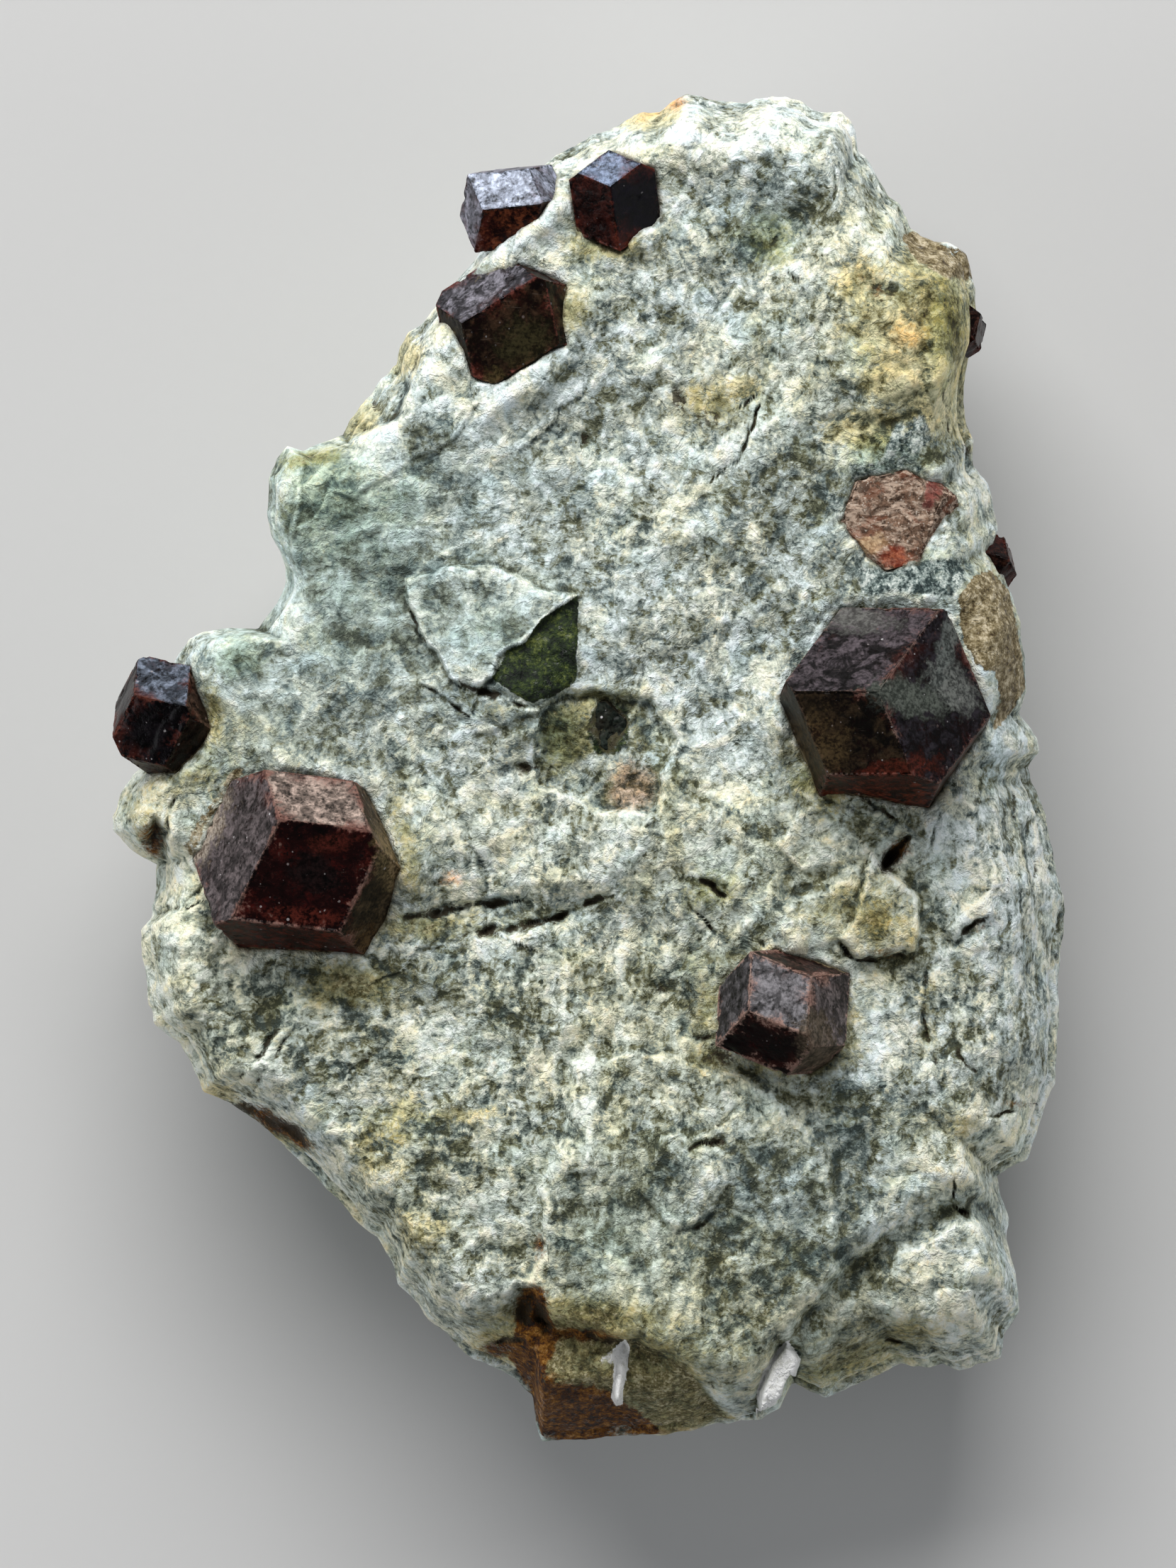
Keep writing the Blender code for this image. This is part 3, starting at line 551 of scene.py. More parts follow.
# Small rounded knobs: sheet point, half sizes, turn, height in mm.
KNOBS = [
    (790, 300, 22, 30, 0, 0.6), (640, 520, 30, 20, 0, 0.5),
    (682, 1008, 9, 9, 0, .3), (1095, 160, 40, 22, 0, .7),
    (1160, 185, 30, 22, -20, .6), (1190, 175, 16, 18, 0, .4),
    (1040, 165, 22, 16, 0, .35), (988, 160, 18, 14, 0, .4),
    (1200, 330, 26, 16, 30, .4), (1330, 365, 26, 18, -20, .5),
    (1268, 540, 30, 20, 10, .6), (1325, 530, 24, 34, 0, .6),
    (1215, 620, 30, 18, 0, .5), (1270, 620, 26, 16, 0, .45),
    (1285, 480, 30, 24, 0, .5), (1340, 430, 18, 30, 10, .5),
    (1230, 430, 20, 20, 0, .3),
    (1180, 530, 20, 14, 0, .3), (1040, 545, 22, 14, 20, .35),
    (1452, 1050, 18, 22, 0, .5), (270, 1290, 14, 12, 0, .3),
    (292, 1258, 12, 10, 0, .3), (250, 1330, 16, 14, 0, .3),
    (300, 1340, 16, 16, 0, .25), (230, 1250, 12, 14, 0, .2),
    (880, 1170, 40, 24, 0, .3), (800, 1180, 26, 18, 0, .3),
    (955, 1195, 30, 22, 0, .3), (700, 1180, 30, 20, 0, .3),
    (590, 1130, 30, 22, 0, .25), (780, 1240, 24, 14, 0, .3),
    (1010, 1160, 26, 20, 0, .3), (1090, 1560, 18, 14, 0, .2),
    (1030, 1800, 14, 12, 0, .15), (975, 1790, 12, 12, 0, .15),
    (600, 1740, 30, 20, 20, .3), (440, 1582, 20, 14, 0, .3),
    (1000, 1600, 18, 12, 0, .3), (1370, 1790, 40, 50, 0, .5),
    (1400, 1880, 20, 20, 0, .4), (1160, 1900, 40, 22, 30, .4),
    (760, 1780, 14, 14, 0, .3), (1250, 640, 50, 20, 0, .4),
]

# Stains and bands of colour by kind, the olive ones partly painted shadow:
# sheet point, half sizes, turn, strength.
STAINS = {
    "white": [
        (1060, 230, 130, 100, -20, .45), (1082, 440, 90, 70, 0, .75),
        (1140, 172, 75, 40, 0, .8), (880, 400, 110, 60, 20, .35),
        (720, 350, 55, 22, 25, .7), (930, 560, 90, 60, 0, .3),
        (880, 690, 90, 60, 30, .4), (560, 1080, 60, 60, 0, .35),
        (860, 1185, 170, 55, 0, .6), (690, 1200, 110, 50, 0, .5),
        (1080, 1180, 80, 55, 0, .55), (820, 1540, 26, 120, 8, .9),
        (757, 1710, 20, 75, -12, .9), (1104, 1950, 26, 55, -22, 1.6),
        (860, 1928, 20, 40, 0, 1.2), (1445, 1190, 32, 120, 10, .6),
        (1368, 1283, 36, 24, 40, .9), (1452, 1050, 22, 34, 0, .8),
        (437, 1582, 26, 20, 0, .9), (262, 1270, 40, 50, 0, .6),
        (265, 1430, 46, 60, 30, .5), (1230, 840, 60, 30, 0, .2),
        (1010, 1000, 90, 110, 0, .3), (700, 850, 60, 40, 20, .10),
        (660, 840, 30, 20, 20, .35), (640, 700, 90, 50, 20, .1),
        (690, 1420, 60, 70, 30, .5), (740, 1000, 30, 60, 0, .4),
        (960, 1520, 60, 30, 0, .3), (1270, 1380, 30, 60, 0, .3),
        (1440, 1700, 30, 40, 0, .3), (1380, 1740, 26, 22, 0, .4),
        (830, 330, 40, 30, 0, .3), (1185, 1370, 24, 22, 0, .8),
        (1003, 1650, 30, 24, 0, .6), (1390, 1000, 16, 44, 0, .7),
        (1405, 1250, 80, 160, 0, 1.3), (1270, 570, 80, 50, 0, .8), (640, 1680, 90, 120, 0, .8),
        (270, 1400, 80, 120, 0, 1.1), (950, 1250, 100, 70, 0, .5),
        (330, 1000, 60, 40, 0, .2), (620, 1440, 60, 40, 0, .3),
    ],
    "slate": [
        (480, 860, 140, 170, 20, .42), (395, 1000, 90, 70, 0, .5),
        (690, 880, 90, 70, 20, .4), (560, 1040, 110, 80, 0, .3),
        (525, 1500, 44, 40, 0, .75), (640, 1620, 90, 60, 10, .7),
        (870, 1740, 115, 115, 0, .85), (1100, 1700, 130, 120, 20, .85),
        (1250, 1570, 90, 100, 0, .6), (1415, 1370, 36, 90, 0, .25),
        (430, 700, 60, 70, 0, .35), (1180, 1830, 90, 50, -40, .5),
        (700, 1480, 60, 50, 0, .35), (350, 1420, 60, 40, 0, .5),
        (1110, 640, 90, 90, 0, .35), (1030, 820, 70, 90, 0, .35),
        (560, 640, 80, 50, 20, .3), (930, 1890, 40, 40, 0, .6),
        (960, 1440, 70, 60, 0, .35), (840, 1310, 50, 40, 0, .4),
        (900, 180, 50, 30, 0, .4), (1170, 270, 30, 40, 0, .35),
        (1340, 620, 30, 40, 0, .5), (985, 1260, 46, 50, 0, .45),
        (1130, 1310, 60, 40, 20, .4), (1280, 820, 90, 34, 0, .6),
        (640, 1100, 40, 40, 0, .25), (1400, 1800, 34, 50, 0, .3),
        (590, 1850, 40, 30, 0, .3), (1310, 1450, 20, 90, 0, .6),
        (1205, 555, 30, 22, 0, 1.1), (800, 1400, 40, 60, 0, .2),
        (1300, 420, 80, 80, 0, .55), (1245, 410, 34, 20, -30, .9),
        (1190, 460, 30, 30, 0, .6), (1150, 860, 80, 90, 0, .35),
        (870, 1700, 110, 100, 0, .75), (800, 1035, 40, 50, 0, 1.0),
        (905, 1030, 22, 40, 0, .9), (500, 950, 80, 70, 0, .35),
        (980, 1450, 90, 70, 0, .4), (870, 1930, 110, 36, 14, .7),
        (640, 860, 70, 60, 0, .35), (1345, 690, 20, 60, 0, .5),
        (250, 960, 40, 30, 0, .5), (338, 925, 34, 28, 0, .8),
        (481, 688, 30, 32, 0, .5), (520, 720, 26, 20, 0, .3),
    ],
    "green": [
        (470, 760, 130, 120, 20, .6), (1252, 645, 66, 38, 0, 1.1),
        (1085, 335, 50, 46, 40, .9), (700, 880, 60, 50, 0, .5),
        (790, 1040, 30, 50, 0, .9), (655, 1480, 60, 40, 0, .4),
        (1150, 1100, 50, 30, 0, .7), (1000, 1250, 50, 40, 0, .7),
        (1080, 1390, 40, 40, 0, .4), (1290, 800, 90, 60, 0, .6),
        (870, 1740, 90, 90, 0, .35), (420, 660, 40, 30, 0, .7),
        (570, 1580, 90, 34, 0, .6), (1240, 700, 40, 20, 0, .4),
        (1330, 500, 20, 60, 0, .3), (560, 900, 90, 90, 0, .3),
        (300, 1080, 70, 40, 0, .5), (980, 1360, 40, 40, 0, .5),
        (481, 688, 34, 36, 0, 1.0), (338, 925, 40, 34, 0, 1.0),
        (445, 690, 24, 60, -28, .9), (560, 700, 70, 40, 20, .5),
        (1335, 450, 40, 90, 0, .8), (1215, 500, 50, 30, 0, .6),
    ],
    "ochre": [
        (1285, 470, 60, 50, 0, 1.0), (1262, 538, 50, 26, 10, 1.1),
        (1230, 606, 70, 26, 4, 1.2), (1325, 540, 40, 70, 0, 1.2),
        (1330, 430, 40, 60, 0, 1.0), (1205, 395, 34, 30, 0, .9),
        (1180, 470, 26, 40, 0, .35), (1230, 450, 30, 40, 0, .6),
        (1300, 380, 70, 30, -20, .7), (922, 162, 40, 22, 20, 1.2),
        (1048, 547, 26, 17, 20, .9), (1360, 540, 20, 90, 0, .7),
        (570, 1566, 40, 24, 40, .8), (656, 1572, 70, 18, 4, .7),
        (600, 1735, 46, 34, 0, .7), (305, 1545, 30, 24, 0, .9),
        (1085, 1345, 40, 20, 0, .6), (560, 500, 34, 40, 40, .8),
        (508, 588, 34, 26, 30, 1.2), (560, 480, 20, 26, 30, .9), (1405, 900, 40, 110, 12, .5),
        (940, 760, 30, 14, 30, .5), (560, 1660, 60, 40, 20, .4),
        (1000, 1775, 60, 26, 0, .45), (700, 362, 40, 16, 30, .45),
        (1240, 1300, 40, 44, 0, .5), (250, 1450, 40, 40, 0, .35),
        (900, 1900, 90, 40, 0, .4), (1170, 1140, 60, 30, 0, .35),
        (1300, 1660, 40, 30, 0, .3), (930, 1600, 50, 30, 0, .3),
        (520, 1620, 26, 40, 20, .6), (840, 1410, 20, 60, 0, .3),
        (1090, 1810, 40, 16, 0, .3), (420, 1100, 60, 16, -10, .5),
        (1350, 1650, 30, 40, 0, .3), (200, 1130, 34, 50, 0, .4),
    ],
    "orange": [
        (916, 160, 26, 14, 20, .9), (1278, 474, 40, 34, 0, .8), (1215, 385, 24, 20, 0, .5),
        (1250, 790, 50, 14, -8, .6), (1265, 1120, 40, 16, 0, .5),
        (1330, 360, 40, 14, -20, .6), (1200, 600, 26, 12, 0, .5),
        (958, 143, 14, 12, 0, .6), (640, 1240, 14, 10, 0, .5),
        (560, 1780, 20, 14, 0, .4), (1240, 560, 50, 30, 0, .25),
    ],
    # partly olive stain, partly painted shadow: patches below and right of the crystals
    "olive": [
        (800, 440, 36, 34, 0, .9), (868, 350, 60, 24, 0, .9),
        (1085, 345, 44, 40, 40, .7), (1000, 570, 60, 44, 0, .75),
        (500, 1390, 90, 34, 0, 1.0), (575, 1200, 22, 90, 10, .8),
        (1115, 1495, 76, 30, 0, 1.0), (1000, 1420, 34, 60, 0, .7),
        (1195, 1440, 26, 60, 0, .6), (1100, 1000, 26, 110, 10, .4),
        (1160, 1110, 60, 30, -30, .8), (790, 1050, 34, 60, 0, .8),
        (855, 985, 60, 20, 0, .8), (820, 1860, 120, 34, 0, 1.0),
        (900, 1930, 110, 50, 0, 1.0), (715, 1900, 50, 30, 0, 1.0),
        (1190, 1930, 110, 40, 20, .75), (1235, 1310, 44, 50, 0, .75),
        (1000, 1255, 44, 26, 0, .8), (430, 650, 44, 14, 10, .9), (508, 592, 30, 24, 30, .5),
        (470, 640, 24, 20, 0, .6), (400, 720, 16, 60, 8, .5),
        (560, 1600, 40, 24, 0, .6), (400, 1600, 50, 18, -28, 1.0),
        (200, 1150, 44, 50, 0, .6), (600, 1310, 90, 26, 0, .6),
        (1400, 860, 44, 120, 14, .7), (1350, 1590, 40, 26, 0, .6),
        (1310, 1430, 26, 110, 0, .5), (1310, 430, 60, 90, 0, .55),
        (1180, 1290, 50, 26, 20, .5), (820, 300, 20, 60, 0, .5),
        (960, 245, 14, 10, 0, .4), (1340, 470, 24, 60, 0, .5),
        (1280, 1880, 60, 26, 20, .6), (1000, 1500, 40, 30, 0, .5),
        (700, 1300, 140, 26, 4, .45), (300, 1000, 20, 60, 0, .8),
        (270, 1100, 60, 24, 0, .6), (1050, 1880, 40, 50, 30, .4),
        (1170, 1270, 60, 20, 30, .4), (700, 1005, 40, 20, 0, .5),
    ],
    "brown": [
        (800, 1995, 60, 30, 0, 1.5), (764, 1990, 30, 44, 0, 1.4),
        (850, 2012, 60, 18, 0, 1.0), (750, 1850, 20, 34, 0, 1.1),
        (820, 1885, 60, 10, 0, .8), (1240, 412, 20, 14, -30, .45),
        (395, 1592, 60, 14, -30, 1.0), (705, 1905, 40, 16, 0, .8),
        (1262, 1205, 20, 28, -40, .8), (215, 1185, 22, 28, 0, .8),
        (760, 1760, 12, 24, 0, .6), (620, 1240, 18, 12, 0, .4),
        (905, 1180, 20, 10, 30, .4), (1250, 1345, 60, 8, -6, .5),
        (1385, 1310, 20, 8, 20, .5), (1440, 1560, 40, 7, -14, .5),
    ],
    "pink": [
        (888, 1112, 34, 34, 0, 1.2), (955, 143, 18, 14, 0, .9),
        (640, 1238, 22, 12, 0, .7), (1230, 410, 30, 20, 0, .4),
        (900, 2022, 110, 8, 0, .8), (690, 1500, 14, 30, 0, .4),
        (1200, 390, 20, 14, 0, .3), (1340, 352, 30, 12, -20, .5),
    ],
    "warm": [
        (300, 1420, 130, 160, 0, .9), (560, 1700, 220, 110, 30, .8),
        (900, 1870, 260, 90, 0, .9), (1180, 1860, 200, 110, 0, .7),
        (860, 1420, 240, 110, 0, .6), (1060, 1560, 120, 60, 0, .4),
        (640, 1180, 260, 90, 0, .5), (1040, 1180, 200, 110, 0, .6),
        (200, 1150, 90, 90, 0, .7), (330, 1040, 120, 50, -10, .5),
        (1220, 1300, 120, 110, 0, .7), (1330, 1620, 110, 70, 0, .6),
        (840, 330, 90, 90, 0, .5), (1010, 560, 120, 70, 0, .5),
        (1240, 470, 150, 200, 0, .8), (950, 760, 90, 60, 0, .5),
        (1370, 1470, 60, 160, 0, .3), (560, 1480, 120, 90, 0, .4),
        (870, 1710, 130, 110, 0, .7), (970, 1450, 90, 110, 0, .7),
    ],
    "smooth": [
        (500, 800, 150, 170, 20, 1.0), (700, 870, 80, 60, 20, .9),
        (360, 980, 90, 90, 0, .6), (640, 680, 110, 60, 20, .6),
        (870, 1740, 90, 100, 0, .6), (1100, 1700, 110, 110, 0, .4),
        (800, 1995, 60, 34, 0, 1.0), (1420, 900, 40, 120, 10, .7),
        (1104, 1950, 20, 44, -20, 1.0), (1380, 1720, 30, 30, 0, .6),
        (900, 1930, 50, 40, 0, .4),
    ],
    "grain": [
        (1060, 250, 170, 150, 0, .7), (1080, 450, 150, 90, 0, .6),
        (880, 1190, 220, 80, 0, .7), (260, 1330, 70, 110, 0, .8),
        (1000, 800, 120, 120, 0, .4), (1270, 480, 110, 140, 0, .5),
        (600, 1750, 90, 90, 0, .5), (1350, 1300, 80, 140, 0, .3),
    ],
    "streak": [
        (560, 1480, 260, 150, 0, 1.0), (640, 1700, 200, 150, 0, .8),
        (330, 1400, 120, 150, 0, .7), (640, 760, 220, 150, 0, .6),
        (850, 760, 200, 150, 0, .4),
    ],
    "upright": [
        (1420, 1250, 110, 300, 0, 1.0), (780, 1450, 140, 220, 0, .8),
        (900, 1650, 220, 190, 0, .6), (1340, 1480, 90, 160, 0, .7),
        (720, 1230, 200, 60, 0, .4), (1010, 950, 120, 90, 0, .3),
    ],
}


# Faces with a colour of their own, the "deep" ones darkened partly as painted
# shade and the olive ones partly painted shadow: corners, edge width in mm,
# strength.
AREAS = {
    # painted shade over their own dark green: the plate's end face and the cast's hollow
    "deep": [
        ([(696, 957), (715, 919), (744, 904), (765, 873), (807, 846),
          (818, 840), (817, 900), (813, 957), (798, 972), (782, 984),
          (744, 990), (719, 975)], 0.10, 1.0),
        ([(782, 1010), (820, 995), (838, 1060), (822, 1105), (780, 1085)],
         0.3, 0.35),
        ([(832, 1002), (850, 987), (884, 992), (888, 1040), (874, 1064),
          (840, 1064), (826, 1040)], 0.3, 0.75),
    ],
    "brown": [
        ([(751, 1966), (800, 1955), (858, 1962), (900, 1995), (934, 2026),
          (850, 2045), (745, 2050)], 0.2, 1.4),
        ([(737, 1822), (752, 1818), (772, 1850), (790, 1890), (760, 1960),
          (735, 1960), (722, 1900)], 0.25, 0.9),
    ],
    "olive": [
        ([(735, 1830), (800, 1865), (917, 1898), (967, 1923), (1009, 1981),
          (1043, 2007), (940, 2030), (760, 1975), (720, 1900)], 0.35, 1.1),
        ([(766, 1000), (836, 986), (838, 1066), (800, 1086), (768, 1080)],
         0.3, 0.8),
        ([(884, 990), (916, 994), (926, 1060), (890, 1068)], 0.3, 0.55),
        ([(1190, 1345), (1209, 1290), (1232, 1212), (1290, 1272),
          (1292, 1338)], 0.25, 0.55),
        ([(1125, 1960), (1140, 1890), (1200, 1850), (1290, 1900),
          (1300, 1940), (1160, 1985)], 0.5, 0.45),
    ],
    "tan": [
        ([(1352, 848), (1373, 811), (1399, 802), (1425, 832), (1440, 910),
          (1450, 967), (1427, 1006), (1402, 1032), (1412, 985),
          (1404, 952), (1373, 936), (1355, 890)], 0.12, 1.0),
        ([(1264, 330), (1290, 322), (1340, 345), (1386, 352), (1386, 392),
          (1340, 394), (1296, 372)], 0.25, 0.75),
        ([(258, 1195), (282, 1150), (330, 1085), (352, 1072), (345, 1092),
          (288, 1170), (275, 1215)], 0.15, 0.6),
    ],
    "teal": [
        ([(1205, 800), (1262, 792), (1357, 786), (1364, 820), (1345, 846),
          (1300, 838), (1215, 842)], 0.35, 0.75),
        ([(1262, 598), (1303, 585), (1318, 622), (1290, 650), (1240, 655)],
         0.30, 0.7),
        ([(1195, 652), (1290, 640), (1312, 672), (1240, 674), (1196, 684)],
         0.35, 0.6),
        ([(1180, 560), (1215, 545), (1222, 570), (1190, 580)], 0.3, 0.5),
    ],
    "chalk": [
        ([(1064, 2010), (1070, 1960), (1088, 1920), (1110, 1892),
          (1132, 1920), (1122, 1955), (1100, 2000)], 0.12, 1.6),
        ([(864, 1904), (884, 1890), (888, 1902), (882, 1942), (878, 1984),
          (864, 1984), (868, 1930)], 0.08, 1.3),
        ([(846, 1914), (868, 1902), (866, 1924), (852, 1930)], 0.12, .5),
    ],
}


def area(x, y, kind):
    """How strongly a face of a kind shows at each point, 0 to 1."""
    out = np.zeros(x.shape)
    for points, soft, much in AREAS[kind]:
        k = near_box(x, y, points, 1.5)
        if len(k):
            out[k] = np.maximum(out[k], much * smooth(
                -soft, soft, polygon_distance(
                    x[k], y[k], [place(u, v) for u, v in points])))
    return np.minimum(out, 1.0)


def stain(x, y, kind):
    """How strongly a kind of stain shows at each point, 0 to 1."""
    keep = np.ones(x.shape)
    for u, v, ru, rv, turn, much in STAINS[kind]:
        keep = keep * (1.0 - np.clip(
            much * bump(x, y, u, v, ru, rv, turn) ** 0.8, 0.0, 0.97))
    return 1.0 - keep


def along(x, y, points):
    """Distance in mm to a line of sheet points, and how far along it, 0-1."""
    pts = [place(u, v) for u, v in points]
    best = np.full(x.shape, 1e9)
    part = np.zeros(x.shape)
    n = len(pts) - 1
    for i in range(n):
        (x0, y0), (x1, y1) = pts[i], pts[i + 1]
        ex, ey = x1 - x0, y1 - y0
        t = np.clip(((x - x0) * ex + (y - y0) * ey) / (ex * ex + ey * ey), 0, 1)
        d = np.hypot(x - x0 - t * ex, y - y0 - t * ey)
        closer = d < best
        best = np.where(closer, d, best)
        part = np.where(closer, (i + t) / n, part)
    return best, part


def near_box(x, y, points, margin):
    px = [place(u, v) for u, v in points]
    return np.nonzero((x > min(p[0] for p in px) - margin)
                      & (x < max(p[0] for p in px) + margin)
                      & (y > min(p[1] for p in px) - margin)
                      & (y < max(p[1] for p in px) + margin))[0]


def warp(x, y):
    """Plan points shifted a little, so that drawn edges come out ragged."""
    return (x + 0.34 * noise(x, y, 0.0, 2.3, 3) + 0.13 * noise(x, y, 0.0, .8, 4),
            y + 0.34 * noise(x, y, 0.0, 2.1, 5) + 0.13 * noise(x, y, 0.0, .8, 6))


def features(x, y):
    """Height in mm of all named breaks, and how much painted shade and how
    white they make the rock."""
    h, crevice_shade, white = (np.zeros(x.shape) for _ in range(3))
    wx, wy = warp(x, y)
    jx = 0.20 * noise(x, y, 0.0, 0.7, 9)
    jy = 0.20 * noise(x, y, 0.0, 0.7, 10)
    for points, height, soft in PLATES:
        k = near_box(x, y, points, 3.0)
        if not len(k):
            continue
        d = polygon_distance(wx[k], wy[k], [place(u, v) for u, v in points])
        h[k] += height * smooth(-soft, soft, d)
        # painted shade: the rock is darkened along the foot of each step
        low = -d if height > 0 else d
        foot = np.exp(-((low - soft) / 0.20) ** 2) * (
            0.22 if abs(height) > 1.6 else min(0.55, abs(height) * .38))
        crevice_shade[k] = np.maximum(crevice_shade[k], foot)
    for points, width, depth, shade_strength in CRACKS:
        k = near_box(x, y, points, 3.0)
        if not len(k):
            continue
        d, t = along(wx[k] + jx[k], wy[k] + jy[k], points)
        taper = 0.35 + 0.65 * np.sqrt(np.clip(4 * t * (1 - t), 0, 1))
        open_ = np.clip(0.75 + 1.5 * noise(x[k], y[k], 0.0, 1.5, 8), 0.12, 1.3)
        w = width * taper * (0.45 + 0.4 * open_)
        h[k] -= depth * taper * open_ * np.exp(-(d / w) ** 2)
        # painted shade: the crack is darkened along its length
        crevice_shade[k] = np.maximum(crevice_shade[k], shade_strength * np.clip(open_ * 1.1, 0, 1)
                             * np.exp(-(d / (w * 1.25)) ** 2))
    for points, width, height, pale in CRESTS:
        k = near_box(x, y, points, 3.0)
        if not len(k):
            continue
        d, t = along(wx[k], wy[k], points)
        taper = 0.3 + 0.7 * np.sqrt(np.clip(4 * t * (1 - t), 0, 1))
        w = width * taper
        h[k] += 0.45 * height * taper * np.exp(-(d / w) ** 2)
        white[k] = np.maximum(white[k], pale * np.exp(-(d / (w * 1.1)) ** 2))
    for u, v, ru, rv, turn, depth, shade_strength in PITS:
        b = bump(wx, wy, u, v, ru, rv, turn)
        h -= depth * b
        # painted shade: the hollow is darkened
        crevice_shade = np.maximum(crevice_shade, shade_strength * b)
    for u, v, ru, rv, turn, height in KNOBS:
        h += height * bump(wx, wy, u, v, ru, rv, turn)
    return h, crevice_shade, white


def sheets(x, y, spacing, seed, lean):
    """Edges of thin cleavage sheets: each slopes gently and ends in a lip."""
    a = math.radians(lean)
    t = (-x * math.sin(a) + y * math.cos(a)) / spacing
    t = t + 1.5 * noise(x, y, 0.0, 11.0, seed) + 0.5 * noise(x, y, 0.0, 4.0,
                                                             seed + 1)
    f = t - np.floor(t)
    return f - smooth(0.86, 1.0, f)


def detail(x, y):
    """Fine relief of the crystal face, in mm."""
    flat = stain(x, y, "smooth")
    grain = stain(x, y, "grain")
    lean = stain(x, y, "streak")
    up = stain(x, y, "upright")
    rough = 1.0 - 0.75 * flat
    wx = x + 1.1 * noise(x, y, 0.0, 5.0, 11) + .3 * noise(x, y, 0.0, 1.6, 12)
    wy = y + 1.1 * noise(x, y, 0.0, 5.0, 13) + .3 * noise(x, y, 0.0, 1.6, 14)
    h = 0.35 * fbm(x, y, 0.0, 9.0, 2, 21)
    h += rough * 2.1 * scoops(wx, wy, 7.5, 31)
    h += rough * 0.9 * scoops(wx, wy * .8, 3.1, 32)
    puff = 0.55 + 0.9 * noise(x, y, 0.0, 7.0, 15)
    puff = (rough - 0.15) * np.clip(puff + 0.2 * grain, 0.15, 1.2)
    h -= puff * 0.52 * scoops(wx, wy * .85, 1.75, 34)
    h -= puff * 0.26 * scoops(wx, wy, 0.95, 33)
    h += rough * facets(wx, wy, 4.4, 35, 0.06, 0.035)
    h += (0.10 + 0.14 * grain) * rough * fbm(x, y, 0.0, 1.3, 3, 41, 0.65)
    h += 0.07 * (1 - flat * .6) * noise(x, y, 0.0, 0.62, 42)
    # foliation: long thin ribs, leaning on the left and upright below
    for turn, share, seed in ((52, lean, 51), (84, up, 61)):
        a = math.radians(turn)
        p = wx * math.cos(a) + wy * math.sin(a)
        q = -wx * math.sin(a) + wy * math.cos(a)
        ribs = (noise(p / 5.5, q, 0.0, 1.5, seed)
                + 0.6 * noise(p / 4.5, q, 0.0, 0.7, seed + 1))
        h += 0.17 * share * ribs
    h += 0.16 * flat * sheets(x, y, 4.4, 71, 28)
    h += 0.16 * (1 - flat) * sheets(wx, wy, 2.7, 75, 65)
    return h


# ------------------------------------------------------------- crystal sockets
def turn_of(spec):
    return Euler([math.radians(v) for v in spec["turn"]], "XYZ").to_matrix()


def planes_of(spec):
    """Normals and distances of the crystal's faces, by crystal direction."""
    dirs, dist = [], []
    for i, j in ((0, 1), (0, 2), (1, 2)):
        for si in (1, -1):
            for sj in (1, -1):
                n = [0, 0, 0]
                n[i], n[j] = si, sj
                dirs.append(tuple(n))
                dist.append(spec["faces"].get(tuple(n), spec["r"]))
    return dirs, np.array(dirs, float) / math.sqrt(2.0), np.array(dist)


def crystal_distance(x, y, z, spec):
    """Distance in mm out of a crystal's faces, negative inside it."""
    cx, cy = place(*spec["at"])
    rot = np.array(turn_of(spec))
    p = np.stack([x - cx, y - cy, z - spec["z"]], -1) @ rot
    _, normals, dist = planes_of(spec)
    return (p @ normals.T - dist).max(-1)


def sockets(x, y, z):
    """Sinks the rock inside each crystal and cuts a ragged rim round it.
    Returns the new height and how close the contact is, 0 to 1."""
    touch = np.zeros(x.shape)
    wob = 0.5 + 0.5 * noise(x, y, 0.0, 1.7, 81)
    for name, spec in GARNETS.items():
        if name.startswith("garnet_side"):
            continue
        cx, cy = place(*spec["at"])
        reach = spec["r"] * 1.6 + 3.0
        k = np.nonzero(np.hypot(x - cx, y - cy) < reach)[0]
        f = crystal_distance(x[k], y[k], z[k], spec)
        flush = "broken" in spec
        if flush:
            f = f + 0.30 * noise(x[k], y[k], 0.0, 1.1, 82) + 0.12 * noise(
                x[k], y[k], 0.0, 0.45, 83)
        deep = np.clip(-f * 1.6 + 0.1, 0.0, 2.4 if not flush else 1.5)
        rim = (0.12 if not flush else 0.12) * (0.4 + wob[k])
        z[k] += (-np.where(f < 0.05, deep + rim, 0.0)
                 - np.where(f >= 0.05, rim * np.exp(-(f / 0.30) ** 2), 0.0)
                 + np.where(f >= 0.05, 0.22 * wob[k] * np.exp(
                     -((f - 1.0) / 0.55) ** 2), 0.0))
        touch[k] = np.maximum(touch[k], np.exp(-(np.maximum(f, 0) / 0.45) ** 2))
    return z, touch


# ----------------------------------------------------------------- whole rock
def back(x, y):
    d = np.maximum(-polygon_distance(x, y, REST_FACE), 0.0)
    out = np.clip(d / BACK_WIDTH, 0.0, 1.0)
    steps = (0.6 * out + 0.25 * smooth(0.1, 0.22, out)
             + 0.15 * smooth(0.5, 0.62, out))
    h = BACK_RISE * steps * (1.0 + 0.25 * ripple(x, y, 0.0, 7.0, 2.3) * out)
    wx = x + 1.2 * noise(x, y, 0.0, 6.0, 101)
    wy = y + 1.2 * noise(x, y, 0.0, 6.0, 102)
    loose = smooth(0.0, 0.25, out)
    fine = (0.35 * facets(wx, wy, 6.0, 103, 0.9, 0.25)
            + 0.5 * facets(wx, wy, 2.6, 104, 0.25, 0.3)
            + 0.18 * fbm(x, y, 0.0, 1.6, 2, 105))
    low = (0.10 * (0.5 + 0.5 * sheets(x, y, 6.0, 106, 20))
           + 0.07 * np.abs(fbm(x, y, 0.0, 2.0, 2, 107)))
    return np.maximum(h + loose * fine + (1 - loose) * low, 0.0)


